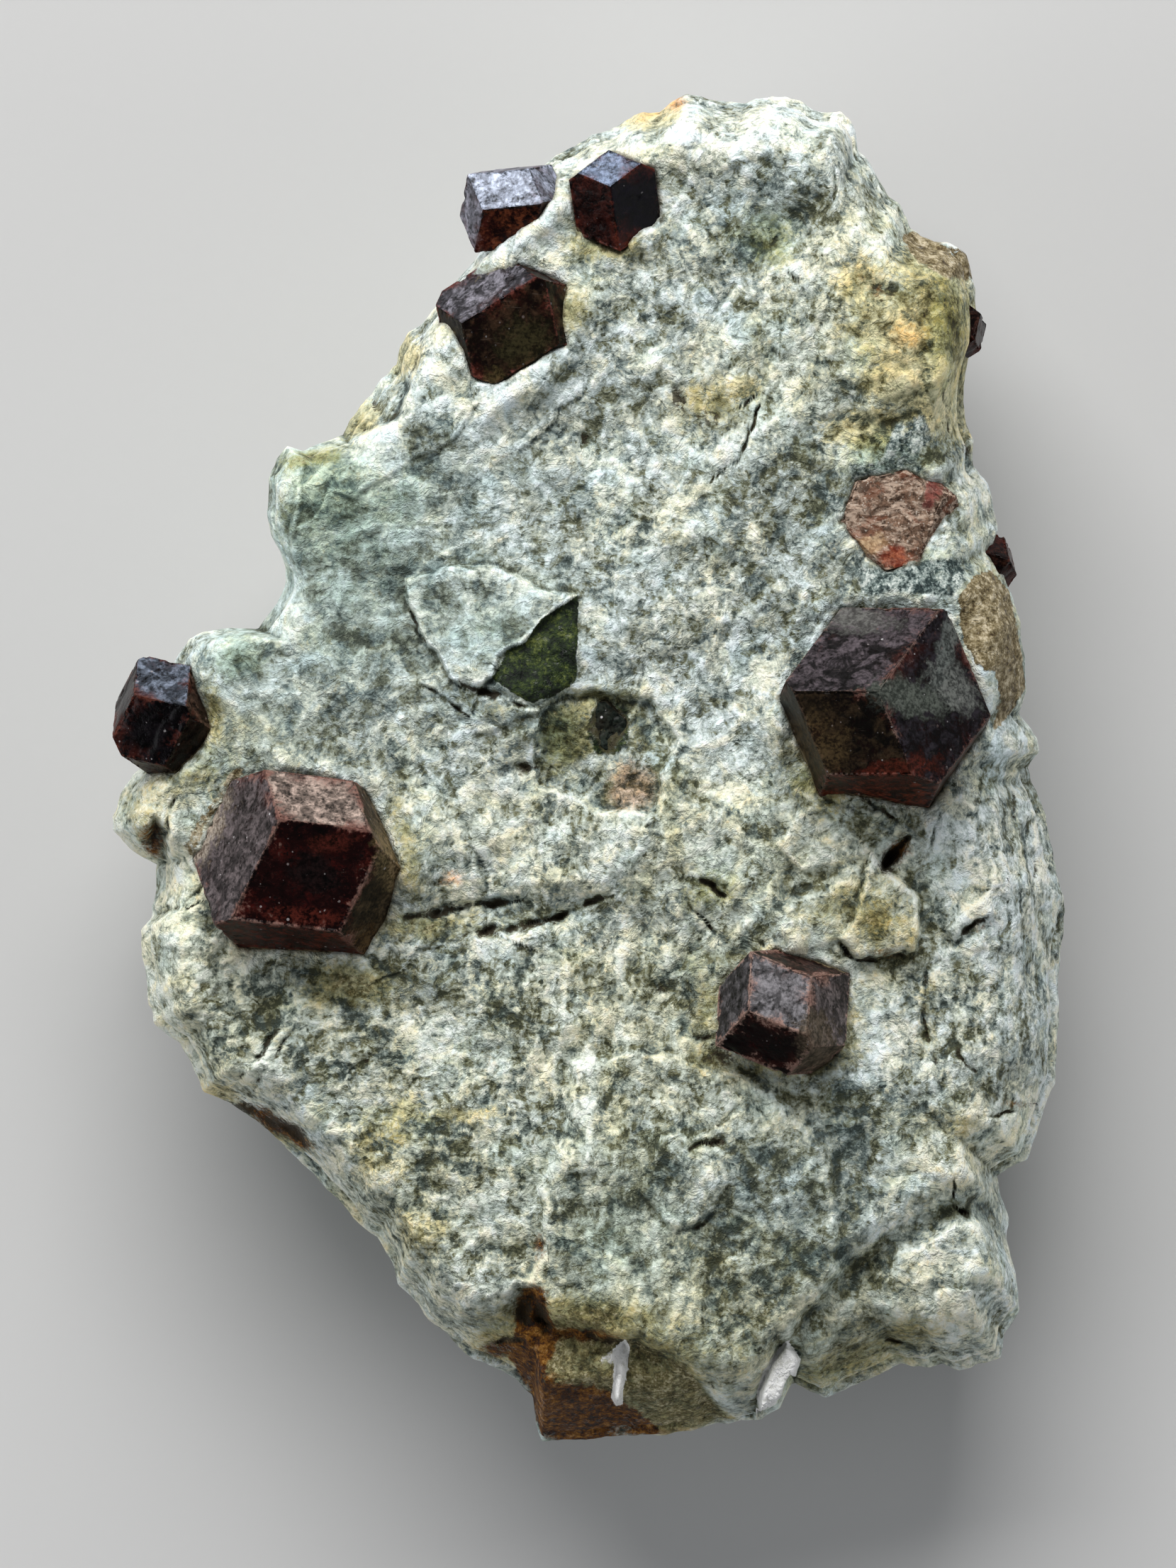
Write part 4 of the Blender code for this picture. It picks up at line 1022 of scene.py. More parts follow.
def wall_inset(s, angle):
    low = 5.0 + 1.6 * np.sin(3 * angle + 0.6) + 0.9 * np.sin(7 * angle)
    under = low * np.clip((0.62 - s) / 0.62, 0.0, 1.0) ** 1.5
    over = 0.8 * np.clip((s - 0.7) / 0.3, 0.0, 1.0) ** 1.5
    return under + over


def rock_point(a, b, s):
    """Point of the rock in mm for a point of the unit slab."""
    r = np.maximum(np.abs(a), np.abs(b))
    with np.errstate(divide="ignore", invalid="ignore"):
        t = np.where(np.abs(a) >= np.abs(b),
                     math.pi / 4 * np.where(a == 0, 0, b / np.where(a == 0, 1, a)),
                     math.pi / 2
                     - math.pi / 4 * np.where(b == 0, 0, a / np.where(b == 0, 1, b)))
    sign = np.where(np.abs(a) >= np.abs(b), np.sign(a), np.sign(b))
    cx, cy = np.cos(t) * sign, np.sin(t) * sign
    angle = np.arctan2(cy * SPAN_Y, cx * SPAN_X)
    edge = edge_radius(angle)
    ex, ey = edge * np.cos(angle), edge * np.sin(angle)
    edge = edge + 0.10 + 0.16 * noise(ex, ey, 0.0, 1.4, 91) + 0.08 * noise(
        ex, ey, 0.0, 0.6, 92)
    inset = wall_inset(s, angle)
    rad = r * (edge - inset * r * r)
    x, y = rad * np.cos(angle), rad * np.sin(angle)
    gap = edge - rad
    top_side = s > 0.999
    base = front(x, y) - roll(angle, np.maximum(gap - 0.8, 0.0))
    h, _, _ = features(x, y)
    edge_fade = smooth(0.0, 2.5, gap)
    top = base + h * (0.35 + 0.65 * edge_fade) + detail(x, y)
    # the white flakes stand up right out to their ends
    for points, level in FINS:
        w = inside(x, y, points, 0.22)
        flake = level + 0.25 * noise(x, y, 0.0, 1.3, 88)
        top = np.where(w > 0, top + w * (flake - top), top)
    k = np.nonzero(top_side)[0]
    top[k], _ = sockets(x[k], y[k], top[k])
    bottom = back(x, y)
    z = bottom + s * (top - bottom)
    # the side: thin layers broken back by different amounts
    rim = r ** 40 * smooth(0.0, 0.12, s) * smooth(1.0, 0.90, s)
    zz = z + 0.9 * noise(ex, ey, 0.0, 14.0, 93) + 0.25 * noise(ex, ey, z, 3.0, 94)
    ledge = np.zeros(x.shape)
    for size, depth, seed in ((3.1, 1.5, 95), (1.2, 0.6, 96), (0.55, 0.22, 97)):
        layer = np.floor(zz / size)
        wob = noise(ex, ey, layer * 7.7, 6.5 * (size / 3.1) ** 0.4, seed)
        ledge += depth * np.clip(0.35 + wob, 0.0, 1.0)
    ledge += 0.5 * np.maximum(facets(ex + ey, z, 3.0, 98, 0.5, 0.4), -0.3)
    ledge += 0.16 * fbm(ex, ey, z, 1.1, 2, 99)
    keep = smooth(0.02, 0.28, np.abs(s - 0.66))
    x = x - np.cos(angle) * ledge * rim * keep
    y = y - np.sin(angle) * ledge * rim * keep
    return x, y, z


def slab_grid(n, m):
    """Surface of a block of n by n by m cells: lattice points and quads that
    face outwards."""
    ids = np.full((n + 1, n + 1, m + 1), -1, np.int64)
    skin = np.zeros(ids.shape, bool)
    skin[0], skin[-1] = True, True
    skin[:, 0], skin[:, -1] = True, True
    skin[:, :, 0], skin[:, :, -1] = True, True
    ids[skin] = np.arange(skin.sum())
    where = np.argwhere(skin)
    quads = []

    def add(grid, flip):
        q = np.stack([grid[:-1, :-1], grid[1:, :-1], grid[1:, 1:],
                      grid[:-1, 1:]], -1).reshape(-1, 4)
        quads.append(q[:, ::-1] if flip else q)

    add(ids[:, :, -1], False)
    add(ids[:, :, 0], True)
    add(ids[0], True)
    add(ids[-1], False)
    add(ids[:, 0], False)
    add(ids[:, -1], True)
    return where, np.concatenate(quads)


def mesh_from(name, co, faces):
    """Mesh from arrays of points in mm and faces of equal corner count."""
    mesh = bpy.data.meshes.new(name)
    corners = faces.shape[1]
    mesh.vertices.add(len(co))
    mesh.loops.add(faces.size)
    mesh.polygons.add(len(faces))
    mesh.vertices.foreach_set("co", np.ascontiguousarray(co, np.float32).ravel())
    mesh.loops.foreach_set("vertex_index", faces.ravel().astype(np.int32))
    mesh.polygons.foreach_set(
        "loop_start", np.arange(0, faces.size, corners, dtype=np.int32))
    mesh.update(calc_edges=True)
    mesh.validate()
    return mesh


def coords(mesh):
    co = np.zeros(len(mesh.vertices) * 3, np.float32)
    mesh.vertices.foreach_get("co", co)
    return co.reshape(-1, 3).astype(float)


def normals(mesh):
    no = np.zeros(len(mesh.vertices) * 3, np.float32)
    mesh.vertices.foreach_get("normal", no)
    return no.reshape(-1, 3).astype(float)


def put_colour(mesh, name, rgba):
    layer = mesh.attributes.new(name, "FLOAT_COLOR", "POINT")
    layer.data.foreach_set("color", np.ascontiguousarray(
        np.clip(rgba, 0.0, 1.0), np.float32).ravel())


def hollows(mesh, rounds):
    """How far each point lies under its smoothed surroundings, in mm."""
    co = coords(mesh)
    no = normals(mesh)
    e = np.zeros(len(mesh.edges) * 2, np.int32)
    mesh.edges.foreach_get("vertices", e)
    a, b = e.reshape(-1, 2).T
    n = len(co)
    count = np.bincount(a, minlength=n) + np.bincount(b, minlength=n)
    out, done, sm = [], 0, co.copy()
    for target in rounds:
        for _ in range(target - done):
            nxt = np.empty_like(sm)
            for c in range(3):
                s = sm[:, c]
                nxt[:, c] = (np.bincount(a, s[b], n)
                             + np.bincount(b, s[a], n)) / count
            sm = 0.5 * sm + 0.5 * nxt
        done = target
        out.append(((sm - co) * no).sum(1))
    return out


def make_rock():
    n, m = 430, 44
    where, quads = slab_grid(n, m)
    a = -1.0 + 2.0 * where[:, 0] / n
    b = -1.0 + 2.0 * where[:, 1] / n
    s = where[:, 2] / m
    x, y, z = rock_point(a, b, s)
    mesh = mesh_from("matrix_rock", np.stack([x, y, z], 1), quads)
    ob = bpy.data.objects.new("matrix_rock", mesh)
    bpy.context.scene.collection.objects.link(ob)
    # thin out to the size allowed, keeping the crystal face finest
    spare = ob.vertex_groups.new(name="spare")
    spare.add(np.nonzero(s < 0.62)[0].tolist(), 1.0, "REPLACE")
    thin = ob.modifiers.new("thin", "DECIMATE")
    thin.ratio = 290000.0 / (2 * len(quads))
    rest = ob.modifiers.new("thin_under", "DECIMATE")
    rest.ratio = 194000.0 / 290000.0
    rest.vertex_group = "spare"
    dg = bpy.context.evaluated_depsgraph_get()
    slim = bpy.data.meshes.new_from_object(ob.evaluated_get(dg))
    ob.modifiers.clear()
    ob.data = slim
    ob.vertex_groups.clear()
    bpy.data.meshes.remove(mesh)
    slim.name = "matrix_rock"

    co = coords(slim)
    x, y, z = co.T
    wx, wy = warp(x, y)
    small, wide, broad = hollows(slim, (3, 14, 60))
    h, crevice_shade, pale = features(x, y)
    touch = np.zeros(len(x))
    for name, spec in GARNETS.items():
        f = crystal_distance(x, y, z, spec)
        touch = np.maximum(touch, np.exp(-(np.maximum(f, 0) / 0.30) ** 2))
    up = normals(slim)[:, 2]
    face = smooth(-0.95, -0.45, up) * smooth(
        8.0, 13.5, z + 2.2 * noise(x, y, z, 4.0, 205))
    tone = {k: stain(wx, wy, k) * face for k in STAINS}
    dx, dy = x * .5 + wx * .5, y * .5 + wy * .5
    for kind in AREAS:
        part = area(dx, dy, kind) * face
        if kind == "chalk":
            part *= smooth(16.5, 18.0, z + 1.5 * noise(x, y, z, 1.5, 206))
        tone[kind] = np.maximum(tone.get(kind, 0.0 * x), part)
    lo = 1.0 - face
    olive = np.maximum(tone["olive"], lo * 0.35 * (
        0.5 + 0.5 * noise(x, y, z, 9.0, 201)))
    ochre = np.maximum(tone["ochre"], lo * np.clip(
        noise(x, y, z, 7.0, 202) * 1.1, 0, 0.8))
    slate = np.maximum(tone["slate"], lo * np.clip(
        0.35 + noise(x, y, z, 8.0, 203), 0, 0.8))
    white = np.maximum(tone["white"], lo * np.clip(
        noise(x, y, z, 6.0, 204) * 0.6, 0, 0.4))
    put_colour(slim, "tone_a", np.stack([white, slate, tone["green"], ochre], 1))
    put_colour(slim, "tone_b", np.stack([olive, tone["brown"], tone["pink"],
                                         tone["orange"]], 1))
    # tone_c: painted shade of cracks, pits and step feet; pale crests; closeness to a crystal,
    # which sets the painted shade ring; smooth places
    put_colour(slim, "tone_c", np.stack([crevice_shade, pale, touch, tone["smooth"]], 1))
    # the cavity measures in tone_d and tone_e set painted shade in hollows and painted light
    # on bumps
    put_colour(slim, "tone_d", np.stack([tone["streak"], tone["upright"],
                                         tone["grain"],
                                         np.clip(0.5 + 2.2 * small * (
                                             1 - 0.8 * lo), 0, 1)], 1))
    put_colour(slim, "tone_e", np.stack([
        np.clip(0.5 + 1.1 * wide * (1 - 0.8 * lo), 0, 1),
        np.clip(0.5 + 0.45 * broad * (1 - 0.5 * lo), 0, 1),
        lo, tone["deep"]], 1))
    put_colour(slim, "tone_f", np.stack([tone["tan"], tone["chalk"],
                                         tone["teal"], tone["warm"]], 1))
    co *= MM
    slim.vertices.foreach_set("co", np.ascontiguousarray(co, np.float32).ravel())
    slim.update()
    slim.shade_smooth()
    return ob


# ------------------------------------------------------------------- garnets
# Look of each crystal face: tint of its coat (linear), how much of it covers
# the face, and how rough the face is. The pale blue-grey coats of the faces
# that look up are partly dust and partly painted sheen, standing in for the
# light those faces reflect. "rest" is any face not named.
DUSK = (0.10, 0.095, 0.12)
FACES = {
    "garnet_top_left": {
        (1, 1, 0): ((0.52, 0.58, 0.72), 0.95, 0.26),
        (0, 1, 1): ((0.26, 0.26, 0.31), 0.85, 0.42),
        (1, 0, 1): ((0.11, 0.030, 0.012), 0.45, 0.28),
        (0, 1, -1): ((0.24, 0.24, 0.29), 0.8, 0.4),
        (1, 0, -1): ((0.30, 0.33, 0.42), 0.9, 0.35),
        (1, -1, 0): ((0.05, 0.02, 0.012), 0.5, 0.4),
        "rest": ((0.05, 0.02, 0.015), 0.4, 0.35)},
    "garnet_top": {
        (1, 1, 0): ((0.25, 0.31, 0.44), 0.88, 0.22),
        (0, 1, 1): ((0.030, 0.008, 0.006), 0.5, 0.2),
        (1, 0, 1): ((0.004, 0.003, 0.006), 0.8, 0.42),
        "rest": ((0.02, 0.010, 0.010), 0.4, 0.3)},
    "garnet_upper_left": {
        (1, 1, 0): ((0.155, 0.148, 0.172), 0.9, 0.34),
        (1, 0, 1): ((0.020, 0.011, 0.006), 0.60, 0.36),
        (0, 1, 1): ((0.020, 0.015, 0.008), 0.6, 0.4),
        (-1, 1, 0): ((0.36, 0.24, 0.23), 0.85, 0.5),
        # painted shadow: this narrow face is coloured dark olive as if in shade
        (1, -1, 0): ((0.030, 0.024, 0.012), 0.85, 0.6),
        (0, -1, 1): ((0.030, 0.018, 0.010), 0.8, 0.5),
        "rest": ((0.03, 0.018, 0.012), 0.4, 0.4)},
    "garnet_left_edge": {
        (1, 1, 0): ((0.115, 0.135, 0.175), 0.80, 0.22),
        (1, 0, 1): ((0.004, 0.003, 0.004), 0.85, 0.16),
        (0, 1, 1): ((0.012, 0.007, 0.007), 0.6, 0.2),
        (1, 0, -1): ((0.085, 0.050, 0.035), 0.7, 0.4),
        (1, -1, 0): ((0.018, 0.009, 0.006), 0.7, 0.3),
        (0, -1, 1): ((0.03, 0.012, 0.008), 0.6, 0.3),
        "rest": ((0.02, 0.009, 0.007), 0.4, 0.3)},
    "garnet_lower_left": {
        (1, 1, 0): ((0.340, 0.262, 0.222), 0.97, 0.62),
        (1, 0, 1): ((0.004, 0.002, 0.002), 0.40, 0.30),
        (0, 1, 1): ((0.100, 0.082, 0.084), 0.76, 0.48),
        (0, -1, 1): ((0.075, 0.010, 0.005), 0.60, 0.4),
        (1, 0, -1): ((0.115, 0.085, 0.055), 0.9, 0.65),
        (1, -1, 0): ((0.060, 0.042, 0.022), 0.9, 0.65),
        "rest": ((0.05, 0.032, 0.022), 0.6, 0.5)},
    "garnet_right": {
        (1, 1, 0): ((0.056, 0.046, 0.052), 0.82, 0.42),
        (0, 1, 1): ((0.016, 0.010, 0.005), 0.70, 0.45),
        (1, 0, 1): ((0.013, 0.011, 0.014), 0.6, 0.34),
        (1, 0, -1): ((0.10, 0.080, 0.05), 0.8, 0.6),
        (-1, 0, 1): ((0.10, 0.020, 0.009), 0.7, 0.4),
        # painted shadow: this face along the left edge is coloured dark olive-brown as if in
        # shade
        (-1, 1, 0): ((0.022, 0.016, 0.010), 0.8, 0.5),
        (0, -1, 1): ((0.06, 0.018, 0.010), 0.6, 0.35),
        "rest": ((0.03, 0.018, 0.012), 0.6, 0.5)},
    "garnet_lower_right": {
        (1, 1, 0): ((0.155, 0.148, 0.158), 0.93, 0.45),
        (1, 0, 1): ((0.003, 0.001, 0.001), 0.5, 0.34),
        (0, 1, 1): ((0.075, 0.070, 0.074), 0.85, 0.45),
        (1, 0, -1): ((0.125, 0.105, 0.105), 0.88, 0.5),
        (1, -1, 0): ((0.135, 0.100, 0.070), 0.85, 0.5),
        (0, -1, 1): ((0.14, 0.020, 0.010), 0.7, 0.3),
        "rest": ((0.05, 0.025, 0.02), 0.5, 0.4)},
    "garnet_embedded_right": {
        "broken": ((0.22, 0.135, 0.090), 0.95, 0.62),
        "rest": ((0.14, 0.08, 0.05), 0.8, 0.6)},
    "garnet_embedded_centre": {
        "broken": ((0.025, 0.034, 0.027), 0.90, 0.35),
        "rest": ((0.05, 0.045, 0.03), 0.7, 0.5)},
    "garnet_side_upper": {"rest": ((0.03, 0.012, 0.008), 0.4, 0.28)},
    "garnet_side_lower": {"rest": ((0.03, 0.012, 0.008), 0.4, 0.28)},
}


def cut_crystal(spec):
    """The bare crystal in mm: a block cut back by its faces."""
    bm = bmesh.new()
    bmesh.ops.create_cube(bm, size=6.0 * spec["r"])
    dirs, unit, dist = planes_of(spec)
    cuts = [(Vector(n), d) for n, d in zip(unit, dist)]
    if "broken" in spec:
        up = turn_of(spec).inverted() @ Vector((0.06, 0.04, 1.0)).normalized()
        cuts.append((up, spec["broken"]))
    for no, d in cuts:
        cut = bmesh.ops.bisect_plane(
            bm, geom=bm.verts[:] + bm.edges[:] + bm.faces[:], dist=1e-5,
            plane_co=no * d, plane_no=no, clear_outer=True)
        bmesh.ops.edgeloop_fill(bm, edges=[
            e for e in cut["geom_cut"] if isinstance(e, bmesh.types.BMEdge)])
    bmesh.ops.remove_doubles(bm, verts=bm.verts[:], dist=0.02)
    bmesh.ops.dissolve_degenerate(bm, dist=0.01, edges=bm.edges[:])
    bmesh.ops.recalc_face_normals(bm, faces=bm.faces[:])
    return bm


def make_garnet(name, spec, seed):
    bm = cut_crystal(spec)
    bmesh.ops.bevel(bm, geom=bm.edges[:] + bm.verts[:],
                    offset=0.045 + 0.008 * spec["r"], offset_type="OFFSET",
                    segments=2, profile=0.5, affect="EDGES",
                    clamp_overlap=True)
    bmesh.ops.triangulate(bm, faces=bm.faces[:])
    length = 0.15 + 0.012 * spec["r"]
    for _ in range(9):
        long = [e for e in bm.edges if e.calc_length() > length * 1.35]
        if not long:
            break
        bmesh.ops.subdivide_edges(bm, edges=long, cuts=1)
        bmesh.ops.triangulate(bm, faces=[f for f in bm.faces
                                         if len(f.verts) > 3])
    bmesh.ops.recalc_face_normals(bm, faces=bm.faces[:])
    mesh = bpy.data.meshes.new(name + "_crystal")
    bm.to_mesh(mesh)
    bm.free()

    co, no = coords(mesh), normals(mesh)
    dirs, unit, dist = planes_of(spec)
    f = co @ unit.T - dist
    keys = list(dirs)
    if "broken" in spec:
        up = np.array(turn_of(spec).inverted()
                      @ Vector((0.06, 0.04, 1.0)).normalized())
        f = np.concatenate([f, (co @ up - spec["broken"])[:, None]], 1)
        keys.append("broken")
    order = np.argsort(-f, axis=1)
    row = np.arange(len(co))
    first = order[:, 0]
    edge = f[row, first] - f[row, order[:, 1]]
    x, y, z = co.T
    # growth: each face steps down towards one or two of its edges
    depth = np.zeros(len(co))
    wob = 0.22 * noise(x, y, z, 1.6, seed) + 0.06 * noise(x, y, z, .5, seed + 1)
    for i, key in enumerate(keys):
        on = first == i
        if key == "broken":
            depth[on] += (0.16 * fbm(x, y, z, 1.4, 3, seed + 2, 0.6)[on]
                          + 0.10 * facets(x, y, 1.1, seed + 3, 1.0, 0.4)[on])
            continue
        if "broken" in spec:
            continue
        picks = chance(np.arange(4), np.full(4, i), np.full(4, 7), seed)
        neighbours = [j for j in range(len(dirs))
                      if j != i and float(unit[i] @ unit[j]) > 0.4]
        for t in range(3):
            j = neighbours[int(picks[t] * len(neighbours)) % len(neighbours)]
            reach = spec["r"] * (0.10 + 0.28 * t + 0.25 * picks[3])
            g = -f[:, j] - reach + wob * (1 + t)
            depth[on] += (0.018 + 0.010 * t) * smooth(0.08, -0.08, g)[on]
    depth += 0.012 * fbm(x, y, z, 0.9, 2, seed + 4)
    # pits and chips
    pit = noise(x, y, z, 0.75, seed + 5)
    depth += 0.07 * smooth(0.42, 0.62, pit)
    near = np.exp(-(edge / 0.35) ** 2)
    chip = noise(x, y, z, 1.1, seed + 6) + 0.5 * noise(x, y, z, 0.4, seed + 7)
    depth += 0.16 * near * smooth(0.25, 0.6, chip)
    co -= no * depth[:, None]

    table = FACES[name]
    tint = np.zeros((len(co), 4))
    gloss = np.zeros(len(co))
    for i, key in enumerate(keys):
        colour, cover, rough = table.get(key, table["rest"])
        on = first == i
        tint[on] = (*(0.74 * c for c in colour), cover)
        gloss[on] = rough
    world = co @ np.array(turn_of(spec)).T
    cx, cy = place(*spec["at"])
    world += np.array([cx, cy, spec["z"]])
    ang = np.arctan2(world[:, 1], world[:, 0])
    gap = edge_radius(ang) - np.hypot(world[:, 0], world[:, 1])
    ground = (front(world[:, 0], world[:, 1]) + features(
        world[:, 0], world[:, 1])[0] - roll(ang, np.maximum(gap - 0.8, 0.0)))
    foot = smooth(0.45, -0.3, world[:, 2] - ground) * (gap > 1.2)
    if "broken" in spec:
        foot = 0.0 * foot
    put_colour(mesh, "coat_and_sheen", tint)
    put_colour(mesh, "wear", np.stack([
        np.exp(-(edge / 0.16) ** 2), gloss, foot,
        np.exp(-(edge / 0.7) ** 2)], 1))
    small, wide, broad = hollows(mesh, (3, 10, 11))
    put_colour(mesh, "relief", np.stack([
        np.clip(0.5 + 5 * small, 0, 1), np.clip(0.5 + 3 * wide, 0, 1),
        np.clip(chip * 0.5 + 0.5, 0, 1), np.ones(len(co))], 1))
    world *= MM
    mesh.vertices.foreach_set("co", np.ascontiguousarray(
        world, np.float32).ravel())
    mesh.update()
    mesh.shade_smooth()
    ob = bpy.data.objects.new(name + "_crystal", mesh)
    bpy.context.scene.collection.objects.link(ob)
    return ob


# ----------------------------------------------------------------- materials
class Nodes:
    """Short way to write a node tree."""

    def __init__(self, name):
        self.mat = bpy.data.materials.new(name)
        self.mat.use_nodes = True
        self.tree = self.mat.node_tree
        self.bsdf = self.tree.nodes["Principled BSDF"]

    def add(self, kind, **props):
        node = self.tree.nodes.new(kind)
        for k, v in props.items():
            setattr(node, k, v)
        return node

    def feed(self, socket, value):
        if isinstance(value, bpy.types.NodeSocket):
            self.tree.links.new(value, socket)
        elif value is not None:
            if isinstance(value, (tuple, list)) and len(value) == 3 \
                    and socket.type == "RGBA":
                value = (*value, 1.0)
            socket.default_value = value

    def math(self, op, a, b=None, c=None, clamp=False):
        n = self.add("ShaderNodeMath", operation=op, use_clamp=clamp)
        for s, v in zip(n.inputs, (a, b, c)):
            self.feed(s, v)
        return n.outputs[0]

    def mix(self, fac, a, b, blend="MIX"):
        n = self.add("ShaderNodeMix", data_type="RGBA", blend_type=blend)
        self.feed(n.inputs["Factor"], fac)
        self.feed(n.inputs[6], a)
        self.feed(n.inputs[7], b)
        return n.outputs[2]

    def blend(self, fac, a, b):
        n = self.add("ShaderNodeMix", data_type="FLOAT")
        self.feed(n.inputs["Factor"], fac)
        self.feed(n.inputs[2], a)
        self.feed(n.inputs[3], b)
        return n.outputs[0]

    def ramp(self, value, stops, mode="LINEAR"):
        n = self.add("ShaderNodeValToRGB")
        n.color_ramp.interpolation = mode
        e = n.color_ramp.elements
        while len(e) < len(stops):
            e.new(0.5)
        for el, (pos, col) in zip(e, stops):
            el.position = pos
            el.color = (*col, 1.0) if isinstance(col, tuple) else (col,) * 3 + (1.0,)
        self.feed(n.inputs[0], value)
        return n.outputs[0]

    def step(self, value, low, high, to_low=0.0, to_high=1.0):
        n = self.add("ShaderNodeMapRange", interpolation_type="SMOOTHSTEP")
        for s, v in zip(n.inputs, (value, low, high, to_low, to_high)):
            self.feed(s, v)
        return n.outputs[0]

    def place(self, scale, turn=0.0, base=None):
        n = self.add("ShaderNodeMapping")
        self.feed(n.inputs["Vector"], base or self.where())
        n.inputs["Rotation"].default_value = (0, 0, math.radians(turn))
        n.inputs["Scale"].default_value = scale
        return n.outputs[0]

    def where(self):
        if not hasattr(self, "_where"):
            tc = self.add("ShaderNodeTexCoord")
            n = self.add("ShaderNodeVectorMath", operation="SCALE")
            self.tree.links.new(tc.outputs["Object"], n.inputs[0])
            n.inputs["Scale"].default_value = 1000.0
            self._where = n.outputs[0]
        return self._where

    def noise(self, size, detail=3.0, rough=0.5, at=None, warp=0.0, offset=0.0):
        n = self.add("ShaderNodeTexNoise")
        n.noise_dimensions = "3D"
        vec = at or self.where()
        if offset:
            m = self.add("ShaderNodeVectorMath", operation="ADD")
            self.feed(m.inputs[0], vec)
            m.inputs[1].default_value = (offset, offset * 1.7, offset * 0.6)
            vec = m.outputs[0]
        self.feed(n.inputs["Vector"], vec)
        n.inputs["Scale"].default_value = 1.0 / size
        n.inputs["Detail"].default_value = detail
        n.inputs["Roughness"].default_value = rough
        n.inputs["Distortion"].default_value = warp
        return n.outputs["Fac"]

    def cells(self, size, feature="F1", at=None):
        n = self.add("ShaderNodeTexVoronoi", feature=feature)
        self.feed(n.inputs["Vector"], at or self.where())
        n.inputs["Scale"].default_value = 1.0 / size
        return n.outputs["Distance"], n.outputs.get("Color")

    def layer(self, name):
        n = self.add("ShaderNodeAttribute", attribute_name=name)
        s = self.add("ShaderNodeSeparateColor")
        self.tree.links.new(n.outputs["Color"], s.inputs[0])
        return (s.outputs[0], s.outputs[1], s.outputs[2], n.outputs["Alpha"],
                n.outputs["Color"])

    def bump(self, height, strength, distance, before=None):
        n = self.add("ShaderNodeBump")
        n.inputs["Strength"].default_value = strength
        n.inputs["Distance"].default_value = distance * MM
        self.feed(n.inputs["Height"], height)
        if before is not None:
            self.feed(n.inputs["Normal"], before)
        return n.outputs[0]


